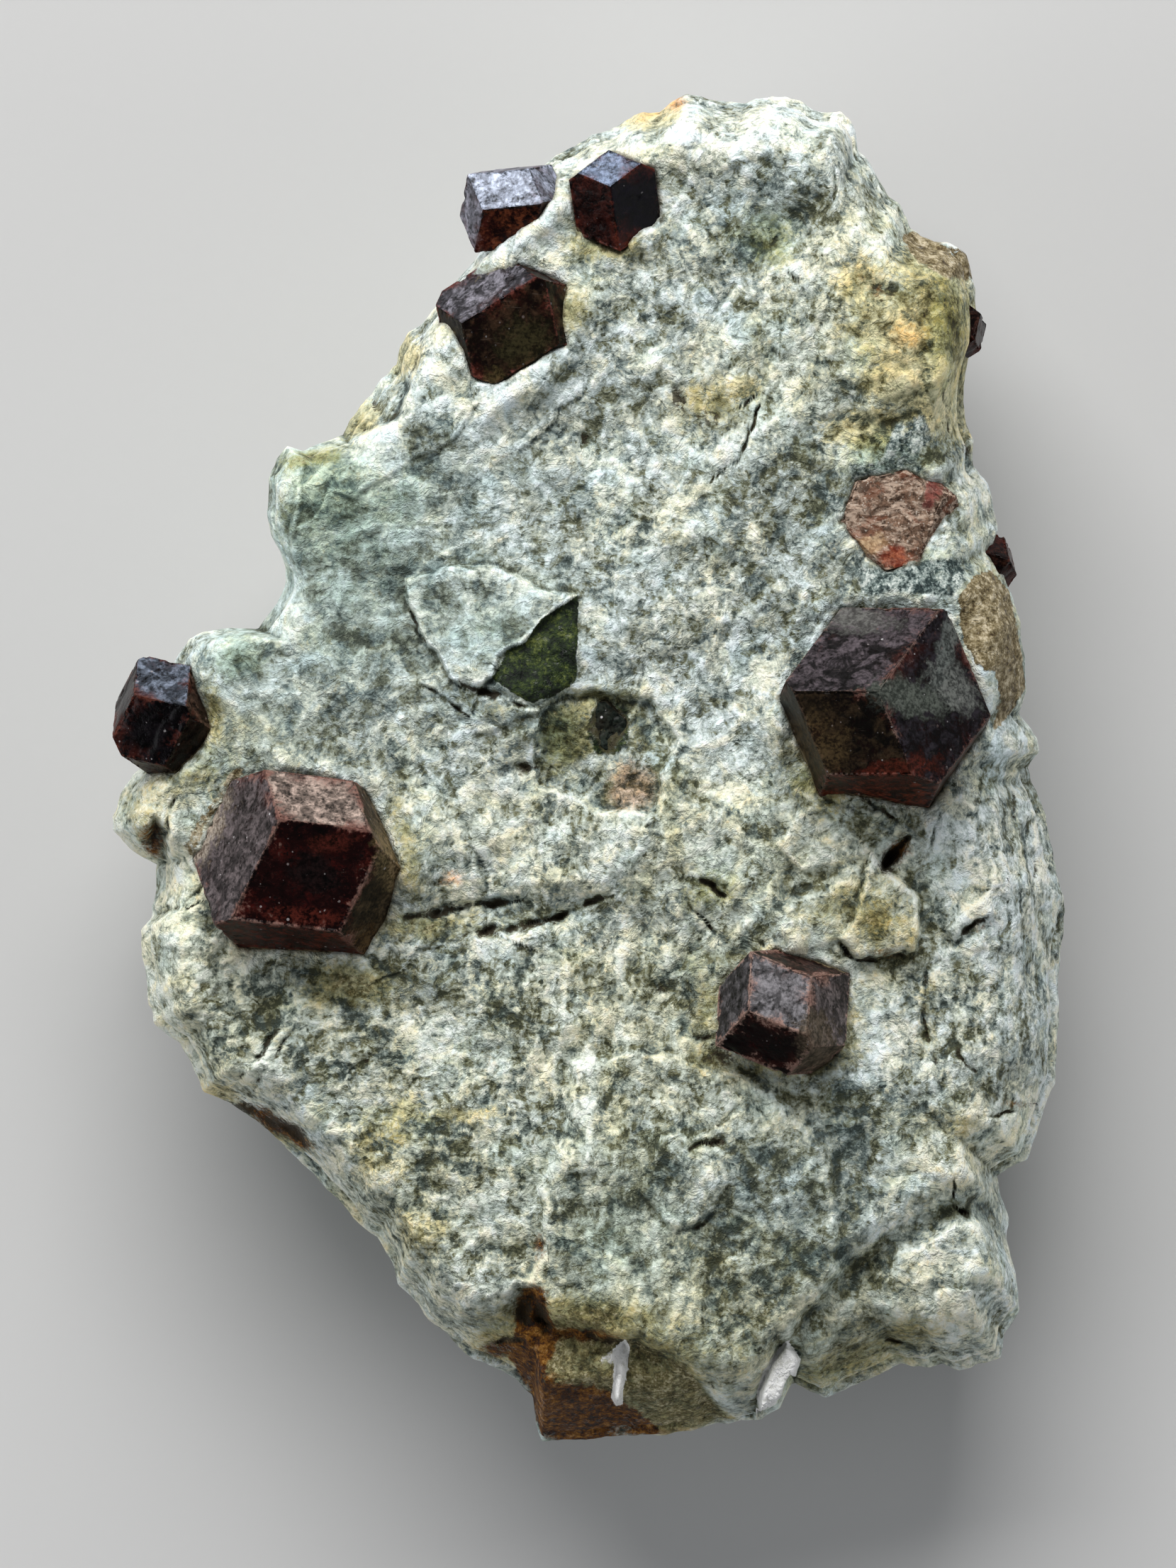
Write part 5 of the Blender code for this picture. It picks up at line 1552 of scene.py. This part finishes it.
def schist():
    m = Nodes("schist_rock")
    white, slate, green, ochre, _ = m.layer("tone_a")
    olive, brown, pink, orange, _ = m.layer("tone_b")
    crevice_shade, pale, touch, flat, _ = m.layer("tone_c")
    lean, upright, coarse, small, _ = m.layer("tone_d")
    wide, broad, lower, deep, _ = m.layer("tone_e")
    tan, chalk, teal, warm, _ = m.layer("tone_f")

    def signed(value, much, middle=0.5):
        return m.math("MULTIPLY", m.math("SUBTRACT", value, middle), much)

    def plus(*values):
        total = values[0]
        for v in values[1:]:
            total = m.math("ADD", total, v)
        return total

    def times(*values):
        total = values[0]
        for v in values[1:]:
            total = m.math("MULTIPLY", total, v)
        return total

    # places in the grain of the rock: round, leaning and upright
    wander = m.add("ShaderNodeTexNoise")
    wander.noise_dimensions = "3D"
    m.feed(wander.inputs["Vector"], m.where())
    wander.inputs["Scale"].default_value = 1.1
    wander.inputs["Detail"].default_value = 3.0
    shift = m.add("ShaderNodeVectorMath", operation="MULTIPLY_ADD")
    m.feed(shift.inputs[0], wander.outputs["Color"])
    shift.inputs[1].default_value = (0.9, 0.9, 0.9)
    m.feed(shift.inputs[2], m.where())
    ragged = shift.outputs[0]
    lean_at = m.place((0.22, 1.0, 1.0), -52.0, base=ragged)
    up_at = m.place((1.0, 0.22, 1.0), 6.0, base=ragged)
    side_at = m.place((0.35, 0.35, 2.6))

    patch = m.noise(3.4, 5.0, 0.62, warp=0.6)
    blotch = m.noise(1.30, 5.0, 0.62, warp=0.4, offset=3.0)
    crumb = m.noise(0.55, 4.0, 0.65, offset=7.0, warp=0.25)
    fine = m.noise(0.20, 2.0, 0.6, offset=11.0)
    lean_rib = m.noise(0.60, 4.0, 0.6, at=lean_at)
    up_rib = m.noise(0.60, 4.0, 0.6, at=up_at)
    side_rib = m.noise(1.1, 3.0, 0.6, at=side_at)
    grain_spot, grain_colour = m.cells(0.26, at=ragged)
    grain = m.add("ShaderNodeSeparateColor")
    m.feed(grain.inputs[0], grain_colour)
    lump_spot, lump_colour = m.cells(0.62, at=ragged)
    lump = m.add("ShaderNodeSeparateColor")
    m.feed(lump.inputs[0], lump_colour)

    # how light the rock is: clusters of pale grains in a darker ground
    zone = m.noise(9.0, 3.0, 0.55, offset=87.0, warp=0.5)
    tone = plus(0.615, times(white, 0.10), times(slate, -0.22),
                signed(zone, 0.85),
                signed(m.step(patch, 0.42, 0.58), 0.16),
                signed(patch, m.blend(flat, 0.80, 0.55)),
                signed(m.step(blotch, 0.44, 0.56), m.blend(flat, 0.10, 0.06)),
                signed(blotch, 0.24),
                signed(m.step(crumb, 0.44, 0.56), m.blend(flat, 0.09, 0.03)),
                signed(crumb, m.blend(coarse, 0.30, 0.52)),
                signed(fine, 0.34),
                signed(grain.outputs[0], m.blend(flat, 0.17, 0.09)),
                signed(lump.outputs[0], m.blend(flat, 0.11, 0.04)))
    for rib, share in ((lean_rib, lean), (up_rib, upright),
                       (side_rib, times(lower, 0.6))):
        tone = plus(tone, times(signed(m.step(rib, 0.42, 0.58), 0.22), share),
                    times(signed(rib, 0.55), share))
    # dark grains of chlorite and dirt between the clusters
    vein = m.math("ABSOLUTE", signed(m.noise(
        1.5, 4.0, 0.6, offset=83.0, warp=0.5), 2.0))
    tone = m.math("SUBTRACT", tone, times(
        m.step(vein, 0.14, 0.02), m.blend(flat, 0.16, 0.05)))
    tone = m.math("SUBTRACT", tone, times(
        m.step(grain.outputs[1], 0.88, 0.94), m.blend(flat, 0.22, 0.06),
        m.step(blotch, 0.62, 0.45)))
    # painted shade and light: hollows darker and raised bumps lighter by the cavity measures;
    # the pale crests and veins lighter too
    tone = plus(tone, signed(small, -0.65), signed(wide, -0.7),
                times(pale, 0.26))
    rock = m.ramp(tone, [
        (0.06, (0.042, 0.054, 0.046)), (0.24, (0.128, 0.152, 0.138)),
        (0.42, (0.275, 0.317, 0.290)), (0.58, (0.450, 0.500, 0.462)),
        (0.74, (0.640, 0.695, 0.655)), (0.95, (0.850, 0.885, 0.860))])

    def tint(mask, colour):
        nonlocal rock
        rock = m.mix(mask, rock, m.mix(1.0, rock, colour, "MULTIPLY"))

    # the pale grains are partly cream, partly cold white
    cream = m.noise(2.4, 4.0, 0.62, offset=71.0, warp=0.7)
    tint(times(m.step(cream, 0.44, 0.60), m.step(tone, 0.40, 0.62),
               m.blend(flat, 0.80, 0.30)), (1.04, 0.99, 0.84))
    tint(times(m.step(cream, 0.54, 0.42), m.step(tone, 0.40, 0.62), 0.8),
         (0.94, 1.0, 1.05))
    # the dark ones are olive brown or blue grey
    hue = m.noise(1.7, 4.0, 0.65, offset=77.0, warp=0.6)
    tint(times(m.step(hue, 0.44, 0.56), m.step(tone, 0.50, 0.24),
               m.blend(flat, 0.85, 0.25)), (1.03, 0.90, 0.55))
    tint(times(m.step(hue, 0.52, 0.40), m.step(tone, 0.50, 0.24), 0.6),
         (0.86, 1.0, 1.10))
    rusty = m.step(grain.outputs[2], 0.90, 0.94)
    tint(times(rusty, m.step(cream, 0.50, 0.60), 0.40), (1.0, 0.82, 0.58))

    # chlorite green, iron stains, and olive patches that are partly stain, partly painted
    # shadow
    soft = m.noise(1.9, 4.0, 0.65, offset=23.0, warp=0.5)
    tiny = m.noise(0.45, 3.0, 0.65, offset=29.0)
    broken = plus(times(soft, 0.7), times(tiny, 0.5),
                  signed(grain.outputs[0], 0.18))

    def cover(mask, low, high):
        return m.step(m.math("ADD", mask, m.math("SUBTRACT", broken, 0.6)),
                      low, high)
    tint(times(cover(green, 0.20, 1.0), 0.85), (0.76, 0.86, 0.72))
    tint(times(cover(ochre, 0.32, 0.72), 0.92), (1.02, 0.88, 0.60))
    tint(times(cover(orange, 0.30, 0.95), 0.75), (1.04, 0.70, 0.38))
    tint(times(cover(pink, 0.25, 0.9), 0.85), (1.02, 0.66, 0.54))
    tint(times(cover(warm, 0.05, 0.75), 0.75), (1.03, 0.97, 0.80))
    tint(times(flat, 0.8), (0.93, 1.0, 1.0))
    far = m.noise(5.0, 4.0, 0.6, offset=41.0, warp=0.8)
    tint(times(m.step(far, 0.52, 0.68), 0.6), (1.03, 0.98, 0.80))
    cool = m.noise(4.0, 3.0, 0.6, offset=53.0)
    tint(times(m.step(cool, 0.50, 0.66), 0.6), (0.92, 1.0, 1.04))
    # olive: partly stain, partly painted shadow below and beside the crystals
    tint(times(cover(olive, 0.26, 0.85), 0.9), (0.56, 0.48, 0.24))
    rock = m.mix(times(cover(olive, 0.80, 1.05), 0.85), rock, m.ramp(
        plus(times(soft, 0.3), times(crumb, 0.7), signed(fine, 0.4)), [
            (0.38, (0.022, 0.016, 0.003)), (0.46, (0.080, 0.064, 0.018)),
            (0.54, (0.200, 0.168, 0.070)), (0.64, (0.560, 0.510, 0.330))]))
    rock = m.mix(cover(tan, 0.35, 0.65), rock, m.ramp(
        plus(times(crumb, 0.6), times(soft, 0.4), signed(fine, 0.3)), [
            (0.36, (0.040, 0.022, 0.008)), (0.45, (0.130, 0.098, 0.042)),
            (0.53, (0.270, 0.220, 0.125)), (0.62, (0.540, 0.470, 0.330))]))
    rock = m.mix(cover(teal, 0.25, 0.75), rock, m.ramp(
        plus(times(up_rib, 0.60), times(blotch, 0.25), times(crumb, 0.15),
             signed(fine, 0.3)), [
            (0.40, (0.008, 0.018, 0.018)), (0.46, (0.036, 0.058, 0.056)),
            (0.52, (0.200, 0.250, 0.235)), (0.60, (0.560, 0.610, 0.570))]))
    # the "deep" faces: partly their own dark green, partly painted shade, so nearly black
    rock = m.mix(cover(deep, 0.30, 0.70), rock, m.ramp(
        plus(times(soft, 0.55), times(crumb, 0.45), signed(fine, 0.35)), [
            (0.38, (0.001, 0.003, 0.001)), (0.47, (0.006, 0.014, 0.003)),
            (0.54, (0.022, 0.038, 0.006)), (0.66, (0.110, 0.130, 0.030))]))
    rock = m.mix(cover(brown, 0.30, 0.75), rock, m.ramp(
        plus(times(soft, 0.4), times(crumb, 0.6), signed(fine, 0.3)), [
            (0.38, (0.006, 0.002, 0.001)), (0.47, (0.060, 0.018, 0.001)),
            (0.55, (0.170, 0.062, 0.002)), (0.66, (0.40, 0.20, 0.045))]))
    rock = m.mix(times(cover(chalk, 0.20, 0.50), 0.96), rock, m.mix(
        m.step(crumb, 0.34, 0.50), (0.70, 0.70, 0.66), (0.95, 0.95, 0.94)))
    # painted shade: broad hollows darkened olive, except on the chalk
    hollow = m.step(m.math("ADD", broad, signed(tiny, 0.25)), 0.56, 0.82)
    tint(times(hollow, m.blend(chalk, 0.5, 0.0)), (0.46, 0.43, 0.30))
    # painted shade: a dark olive ring on the rock where it meets each crystal
    rim = m.step(plus(touch, m.math("SUBTRACT", broken, 0.6)), 0.45, 1.05)
    rock = m.mix(times(rim, 0.60), rock, (0.075, 0.060, 0.030))
    # painted shade: cracks, pits and the feet of steps darkened to near-black brown in broken
    # specks, less on chalk and on the deep faces
    chalky = m.step(chalk, 0.1, 0.4)
    crevice_shade = times(crevice_shade, m.math("SUBTRACT", 1.0, chalky),
                 m.math("SUBTRACT", 1.0, times(m.step(deep, 0.3, 0.8), 0.7)))
    crack_shade_mask = m.step(plus(crevice_shade, signed(tiny, 0.7),
                        signed(grain.outputs[1], 0.45)), 0.45, 0.85)
    rock = m.mix(times(crack_shade_mask, 0.90), rock, (0.030, 0.022, 0.010))
    m.feed(m.bsdf.inputs["Base Color"], rock)

    # mica: small flat flakes that shine more than the rest
    spot, colour = m.cells(0.42)
    pick = m.add("ShaderNodeSeparateColor")
    m.feed(pick.inputs[0], colour)
    flake = m.step(pick.outputs[0], 0.80, 0.84)
    rough = m.blend(times(flake, m.step(tone, 0.35, 0.6)),
                    m.blend(flat, 0.78, 0.58), 0.28)
    rough = m.math("ADD", rough, signed(fine, 0.25))
    m.feed(m.bsdf.inputs["Roughness"], rough)
    m.bsdf.inputs["Specular IOR Level"].default_value = 0.28
    lumps = plus(times(crumb, 0.8), times(fine, 0.40),
                 times(grain.outputs[0], 0.18), times(lump_spot, -0.5),
                 times(m.step(vein, 0.14, 0.02), -0.30))
    for rib, share in ((lean_rib, lean), (up_rib, upright), (side_rib, lower)):
        lumps = m.math("ADD", lumps, times(rib, share))
    rough_bump = m.bump(lumps, 0.85, 0.20)
    tilted = m.bump(times(pick.outputs[1], flake), 0.4, 0.05, rough_bump)
    m.feed(m.bsdf.inputs["Normal"], tilted)
    return m.mat


def garnet(name, red=1.0, edge_tint=(0.26, 0.115, 0.085), edge=0.75,
           crust=(0.16, 0.13, 0.075), dusting=0.0, flecks=0.5, glints=0.0,
           scratch=0.35, seed=0.0, patch=None, crusted=None, mottle=0.5,
           weathered=False):
    m = Nodes(name + "_surface")
    r, g, b, cover, coat_and_sheen = m.layer("coat_and_sheen")
    line, gloss, foot, near, _ = m.layer("wear")
    small, wide, chip, _, _ = m.layer("relief")
    slow = m.noise(2.2, 4.0, 0.6, offset=seed + 1.0, warp=0.6)
    mid = m.noise(0.8, 4.0, 0.65, offset=seed + 5.0, warp=0.4)
    tiny = m.noise(0.24, 3.0, 0.6, offset=seed + 9.0)
    lines_at = m.place((0.12, 1.0, 0.6), 35.0)
    lines = m.noise(0.30, 3.0, 0.7, at=lines_at, warp=0.3)

    body = m.ramp(m.math("ADD", m.math("MULTIPLY", slow, 0.45),
                         m.math("MULTIPLY", mid, 0.55)), [
        (0.38, (0.002, 0.001, 0.001)), (0.52, (0.008 * red, 0.002, 0.002)),
        (0.60, (0.035 * red, 0.005, 0.004)), (0.72, (0.10 * red, 0.014, 0.009))])
    fleck = m.step(m.math("ADD", m.math("MULTIPLY", mid, 0.6),
                          m.math("MULTIPLY", tiny, 0.5)), 0.59, 0.66)
    body = m.mix(m.math("MULTIPLY", fleck, flecks), body,
                 (0.10 * red, 0.016, 0.011))
    # coat of dust and weathering on the face; on the faces that look up also painted sheen,
    # and on two faces painted shadow
    thin = m.math("ADD", cover, m.math("MULTIPLY", m.math(
        "SUBTRACT", mid, 0.5), 1.6))
    thin = m.math("ADD", thin, m.math("MULTIPLY", m.math(
        "SUBTRACT", tiny, 0.5), 0.9))
    amount = m.step(thin, 0.25, 0.70)
    # the coat is thick in places and worn to a dark film in others
    cloud = m.noise(1.4, 4.0, 0.62, offset=seed + 15.0, warp=0.8)
    film = m.blend(m.step(cloud, 0.42, 0.60), 1.0 - 0.85 * mottle,
                   1.0 + 0.45 * mottle)
    shade = m.math("ADD", 0.04, m.math("ADD", m.math(
        "MULTIPLY", m.step(mid, 0.38, 0.62), 0.80), m.math(
        "MULTIPLY", m.step(tiny, 0.30, 0.70), 0.85)))
    shade = m.math("MULTIPLY", shade, film)
    lit = m.add("ShaderNodeMix", data_type="RGBA", blend_type="MULTIPLY")
    lit.inputs["Factor"].default_value = 1.0
    m.feed(lit.inputs[6], coat_and_sheen)
    grey = m.add("ShaderNodeCombineColor")
    for s in grey.inputs:
        m.feed(s, shade)
    m.feed(lit.inputs[7], grey.outputs[0])
    body = m.mix(amount, body, lit.outputs[2])
    # scratches
    mark = m.math("MULTIPLY", m.step(lines, 0.60, 0.70), scratch)
    mark = m.math("MULTIPLY", mark, m.step(mid, 0.45, 0.58))
    body = m.mix(mark, body, m.mix(0.12, coat_and_sheen, (0.34, 0.27, 0.22)))
    # worn edges
    patchy = m.math("ADD", m.math(
        "MULTIPLY", m.math("SUBTRACT", slow, 0.5), 2.6), m.math(
        "MULTIPLY", m.math("SUBTRACT", mid, 0.5), 1.6))
    patchy = m.math("ADD", patchy, m.math(
        "MULTIPLY", m.math("SUBTRACT", tiny, 0.5), 1.2))
    worn = m.math("MULTIPLY", m.step(m.math("ADD", m.math(
        "ADD", m.math("MULTIPLY", line, 0.55),
        m.math("MULTIPLY", near, dusting)), patchy), 0.45, 1.0), edge)
    worn = m.math("MULTIPLY", worn, m.step(near, 0.05, 0.35))
    body = m.mix(worn, body, m.mix(m.step(tiny, 0.35, 0.65), tuple(
        c * 0.55 for c in edge_tint), tuple(c * 1.15 for c in edge_tint)))
    glow = m.math("MULTIPLY", m.math("MULTIPLY", near, m.step(
        m.math("ADD", slow, m.math("MULTIPLY", tiny, 0.4)), 0.68, 0.84)), 0.35)
    body = m.mix(glow, body, (0.10 * red, 0.020, 0.012))
    if patch:
        for u, v, size, tint in patch:
            cx, cy = place(u, v)
            off = m.add("ShaderNodeVectorMath", operation="DISTANCE")
            flat = m.add("ShaderNodeVectorMath", operation="MULTIPLY")
            m.feed(flat.inputs[0], m.where())
            flat.inputs[1].default_value = (1.0, 1.0, 0.0)
            m.feed(off.inputs[0], flat.outputs[0])
            off.inputs[1].default_value = (cx, cy, 0.0)
            ragged = m.math("ADD", off.outputs["Value"], m.math(
                "MULTIPLY", m.math("SUBTRACT", mid, 0.5), 3.2))
            body = m.mix(m.math("MULTIPLY", m.step(
                ragged, size, size * 0.55), 0.85), body, tint)
    if weathered:
        streak = m.noise(0.42, 4.0, 0.7, at=m.place((0.45, 1.0, 1.0), -24.0),
                         warp=0.5)
        body = m.mix(m.step(streak, 0.44, 0.62), body,
                     m.mix(tiny, (0.30, 0.19, 0.13), (0.56, 0.46, 0.37)))
        body = m.mix(m.math("MULTIPLY", m.step(slow, 0.56, 0.66), 0.5), body,
                     (0.20, 0.070, 0.036))
        body = m.mix(m.math("MULTIPLY", m.step(mid, 0.54, 0.64), 0.75), body,
                     (0.050, 0.034, 0.024))
        body = m.mix(m.math("MULTIPLY", m.step(tiny, 0.60, 0.70), 0.6), body,
                     (0.62, 0.56, 0.48))
    if crusted:
        # pale or brown rock still stuck on: sheet point, half sizes, turn
        for u, v, ru, rv, turn, dark, light in crusted:
            cx, cy = place(u, v)
            at = m.add("ShaderNodeMapping", vector_type="TEXTURE")
            m.feed(at.inputs["Vector"], m.where())
            at.inputs["Location"].default_value = (cx, cy, 0.0)
            at.inputs["Rotation"].default_value = (0, 0, math.radians(turn))
            at.inputs["Scale"].default_value = (ru * SHEET, rv * SHEET, 1e6)
            span = m.add("ShaderNodeVectorMath", operation="LENGTH")
            m.feed(span.inputs[0], at.outputs[0])
            reach = m.math("ADD", span.outputs["Value"], m.math("ADD", m.math(
                "MULTIPLY", m.math("SUBTRACT", cloud, 0.5), 1.6), m.math(
                "MULTIPLY", m.math("SUBTRACT", mid, 0.5), 1.8)))
            body = m.mix(m.math("MULTIPLY", m.step(reach, 1.15, 0.60), 0.80),
                         body, m.mix(m.step(m.math("ADD", m.math(
                             "MULTIPLY", mid, 0.5), m.math(
                             "MULTIPLY", tiny, 0.5)), 0.40, 0.60),
                             dark, light))
    # painted shade: the small hollows of the crystal are darkened; crust of rock round the
    # foot
    body = m.mix(m.math("MULTIPLY", m.step(small, 0.56, 0.75), 0.6), body,
                 (0.010, 0.006, 0.005))
    dusty = m.math("MULTIPLY", m.step(m.math("ADD", foot, m.math(
        "MULTIPLY", m.math("SUBTRACT", mid, 0.5), 1.8)), 0.55, 1.0), 0.85)
    body = m.mix(dusty, body, m.mix(m.step(m.math("ADD", m.math(
        "MULTIPLY", mid, 0.5), m.math("MULTIPLY", tiny, 0.5)), 0.42, 0.58),
        tuple(c * 0.12 for c in crust), crust))
    if glints:
        spot, colour = m.cells(0.34)
        pick = m.add("ShaderNodeSeparateColor")
        m.feed(pick.inputs[0], colour)
        size = m.math("MULTIPLY", pick.outputs[1], 0.34)
        bright = m.math("MULTIPLY", m.step(pick.outputs[0], 0.90, 0.91),
                        m.step(m.math("SUBTRACT", spot, size), 0.06, -0.06))
        bright = m.math("MULTIPLY", bright, m.step(cloud, 0.42, 0.58))
        body = m.mix(m.math("MULTIPLY", bright, glints), body,
                     m.mix(pick.outputs[2], (0.10, 0.06, 0.05),
                           (0.50, 0.49, 0.50)))
    m.feed(m.bsdf.inputs["Base Color"], body)
    rough = m.math("ADD", gloss, m.math("MULTIPLY", m.math(
        "SUBTRACT", tiny, 0.5), 0.25))
    rough = m.math("ADD", rough, m.math("MULTIPLY", m.math(
        "SUBTRACT", mid, 0.5), 0.20))
    rough = m.blend(dusty, rough, 0.75)
    rough = m.math("MAXIMUM", m.blend(worn, rough, 0.5), 0.08)
    m.feed(m.bsdf.inputs["Roughness"], rough)
    m.bsdf.inputs["IOR"].default_value = 1.55
    m.bsdf.inputs["Specular IOR Level"].default_value = 0.07
    skin = m.math("ADD", m.math("MULTIPLY", mid, 0.6),
                  m.math("MULTIPLY", tiny, 0.5))
    skin = m.math("SUBTRACT", skin, m.math("MULTIPLY", lines, 0.25))
    m.feed(m.bsdf.inputs["Normal"], m.bump(
        skin, 0.9 if weathered else 0.7, 0.12 if weathered else 0.06))
    return m.mat


def floor_material():
    m = Nodes("studio_floor_paint")
    soft = m.noise(60.0, 3.0, 0.5)
    grain = m.noise(0.8, 3.0, 0.6)
    m.feed(m.bsdf.inputs["Base Color"], m.mix(
        m.math("ADD", m.math("MULTIPLY", soft, 0.8),
               m.math("MULTIPLY", grain, 0.2)),
        (0.56, 0.56, 0.555), (0.60, 0.60, 0.595)))
    m.bsdf.inputs["Roughness"].default_value = 0.9
    m.bsdf.inputs["Specular IOR Level"].default_value = 0.2
    return m.mat


# --------------------------------------------------------------------- build
rock = make_rock()
rock.data.materials.clear()
rock.data.materials.append(schist())
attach(rock, "root")
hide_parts("matrix")

LOOKS = {
    "garnet_top_left": dict(edge=0.35, edge_tint=(0.28, 0.25, 0.28),
                            flecks=0.9, scratch=0.25, seed=1.0),
    "garnet_top": dict(edge=0.45, edge_tint=(0.15, 0.030, 0.015), flecks=0.8,
                       scratch=0.2, seed=2.0, glints=0.5, dusting=0.15),
    "garnet_upper_left": dict(edge=0.6, edge_tint=(0.15, 0.045, 0.036),
                              flecks=0.8, scratch=0.6, seed=3.0, glints=0.35,
                              dusting=0.25, mottle=0.9,
                              crusted=[(742, 490, 44, 50, 30,
                                        (0.008, 0.007, 0.003),
                                        (0.034, 0.029, 0.012)),
                                       (700, 545, 26, 26, 0,
                                        (0.012, 0.008, 0.003),
                                        (0.075, 0.055, 0.022))]),
    "garnet_left_edge": dict(edge=0.55, edge_tint=(0.13, 0.045, 0.030),
                             flecks=0.5, scratch=0.15, seed=4.0, glints=0.6,
                             dusting=0.15, mottle=0.8),
    "garnet_lower_left": dict(edge=0.75, edge_tint=(0.22, 0.130, 0.105),
                              flecks=1.0, scratch=0.3, seed=5.0, glints=0.9,
                              dusting=0.40, mottle=0.65, red=1.25,
                              crusted=[(444, 1232, 44, 30, -20,
                                        (0.001, 0.001, 0.001),
                                        (0.009, 0.005, 0.005)),
                                       (470, 1188, 40, 14, 8,
                                        (0.006, 0.002, 0.001),
                                        (0.062, 0.012, 0.008)),
                                       (430, 1292, 60, 14, -4,
                                        (0.005, 0.001, 0.001),
                                        (0.085, 0.016, 0.010)),
                                       (556, 1215, 26, 60, 15,
                                        (0.035, 0.026, 0.010),
                                        (0.26, 0.19, 0.095)),
                                       (528, 1335, 30, 34, 30,
                                        (0.020, 0.010, 0.004),
                                        (0.11, 0.065, 0.025)),
                                       (283, 1180, 26, 74, -32,
                                        (0.12, 0.09, 0.07),
                                        (0.44, 0.38, 0.31))]),
    "garnet_right": dict(edge=0.55, edge_tint=(0.17, 0.105, 0.085), flecks=0.9,
                         scratch=0.35, seed=6.0, glints=0.6, dusting=0.35,
                         mottle=1.0,
                         crusted=[(1282, 985, 62, 28, -14,
                                   (0.030, 0.036, 0.030),
                                   (0.115, 0.130, 0.110)),
                                  (1345, 968, 26, 52, 38,
                                   (0.035, 0.038, 0.036),
                                   (0.17, 0.18, 0.165)),
                                  (1150, 1050, 46, 56, 20,
                                   (0.010, 0.006, 0.003),
                                   (0.070, 0.046, 0.020)),
                                  (1205, 872, 66, 22, -8,
                                   (0.050, 0.048, 0.046),
                                   (0.14, 0.14, 0.13)),
                                  (1336, 905, 16, 60, -16,
                                   (0.030, 0.034, 0.032),
                                   (0.13, 0.145, 0.135)),
                                  (1260, 1090, 60, 22, 14,
                                   (0.014, 0.004, 0.002),
                                   (0.085, 0.015, 0.008))]),
    "garnet_lower_right": dict(edge=0.75, edge_tint=(0.34, 0.22, 0.18),
                               flecks=0.8, scratch=0.25, seed=7.0, glints=0.45,
                               dusting=0.50, mottle=0.7,
                               crusted=[(1152, 1465, 30, 44, 10,
                                         (0.035, 0.026, 0.016),
                                         (0.13, 0.10, 0.070))]),
    "garnet_embedded_right": dict(edge=0.0, flecks=0.4, scratch=0.3, seed=8.0,
                                  weathered=True,
                                  crusted=[(1220, 771, 38, 15, 22,
                                            (0.26, 0.15, 0.075),
                                            (0.62, 0.44, 0.26)),
                                           (1264, 788, 26, 18, 0,
                                            (0.15, 0.022, 0.010),
                                            (0.38, 0.095, 0.040)),
                                           (1316, 692, 13, 26, -10,
                                            (0.10, 0.025, 0.022),
                                            (0.26, 0.075, 0.060))]),
    "garnet_embedded_centre": dict(edge=0.0, flecks=0.0, scratch=0.1,
                                   seed=9.0, glints=1.0, red=0.3),
    "garnet_side_upper": dict(edge=0.4, edge_tint=(0.11, 0.028, 0.018),
                              flecks=0.9, seed=10.0, glints=0.4),
    "garnet_side_lower": dict(edge=0.4, edge_tint=(0.11, 0.028, 0.018),
                              flecks=0.9, seed=11.0, glints=0.4),
}
for number, (name, spec) in enumerate(GARNETS.items()):
    ob = make_garnet(name, spec, 300 + 20 * number)
    ob.data.materials.append(garnet(name, **LOOKS[name]))
    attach(ob, "root")
    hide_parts(name)

floor_mesh = mesh_from("studio_floor", np.array([
    (-900.0, -900.0, 0.0), (900.0, -900.0, 0.0), (900.0, 900.0, 0.0),
    (-900.0, 900.0, 0.0)]) * MM, np.array([[0, 1, 2, 3]]))
floor = bpy.data.objects.new("studio_floor", floor_mesh)
floor.location = (0.0, 0.0, -0.00005)
floor_mesh.materials.append(floor_material())
bpy.context.scene.collection.objects.link(floor)

# ------------------------------------------------------------ light and camera
scene = bpy.context.scene
scene.view_settings.view_transform = "Standard"


def soft_box(name, place_at, look_at, width, height, power, colour):
    data = bpy.data.lights.new(name, "AREA")
    data.shape = "RECTANGLE"
    data.size, data.size_y = width, height
    data.energy = power
    data.color = colour
    ob = bpy.data.objects.new(name, data)
    ob.location = place_at
    ob.rotation_mode = "QUATERNION"
    ob.rotation_quaternion = (Vector(look_at) - Vector(place_at)).to_track_quat(
        "-Z", "Y")
    scene.collection.objects.link(ob)
    return ob


soft_box("key_light", (-0.16, 0.86, 0.66), (0, 0, 0.01), 1.05, 0.66, 18.0,
         (1.0, 0.99, 0.98))
soft_box("left_light", (-1.0, -0.15, 0.42), (0, 0, 0.01), 0.7, 0.5, 2.7,
         (0.95, 0.97, 1.0))
soft_box("right_light", (1.0, -0.30, 0.40), (0, 0, 0.01), 0.7, 0.5, 2.3,
         (0.97, 0.98, 1.0))

world = bpy.data.worlds.new("studio_world")
world.use_nodes = True
world.node_tree.nodes["Background"].inputs["Color"].default_value = (
    0.93, 0.96, 1.0, 1.0)
world.node_tree.nodes["Background"].inputs["Strength"].default_value = 0.19
scene.world = world

# the camera looks straight down on the rock as it lies
WIDE, TALL = 1659, 2212
UNIT = SHEET * MM
DISTANCE = 2.0
camera_data = bpy.data.cameras.new("camera")
camera_data.sensor_width = 36.0
camera_data.lens = 36.0 * DISTANCE / (TALL * UNIT)
camera_data.clip_start = 0.01
camera_data.clip_end = 10.0
camera = bpy.data.objects.new("camera", camera_data)
cx, cy = place(WIDE / 2.0, TALL / 2.0)
camera.location = (cx * MM, cy * MM, 0.022 + DISTANCE)
camera.rotation_euler = (0.0, 0.0, 0.0)
scene.collection.objects.link(camera)
scene.camera = camera
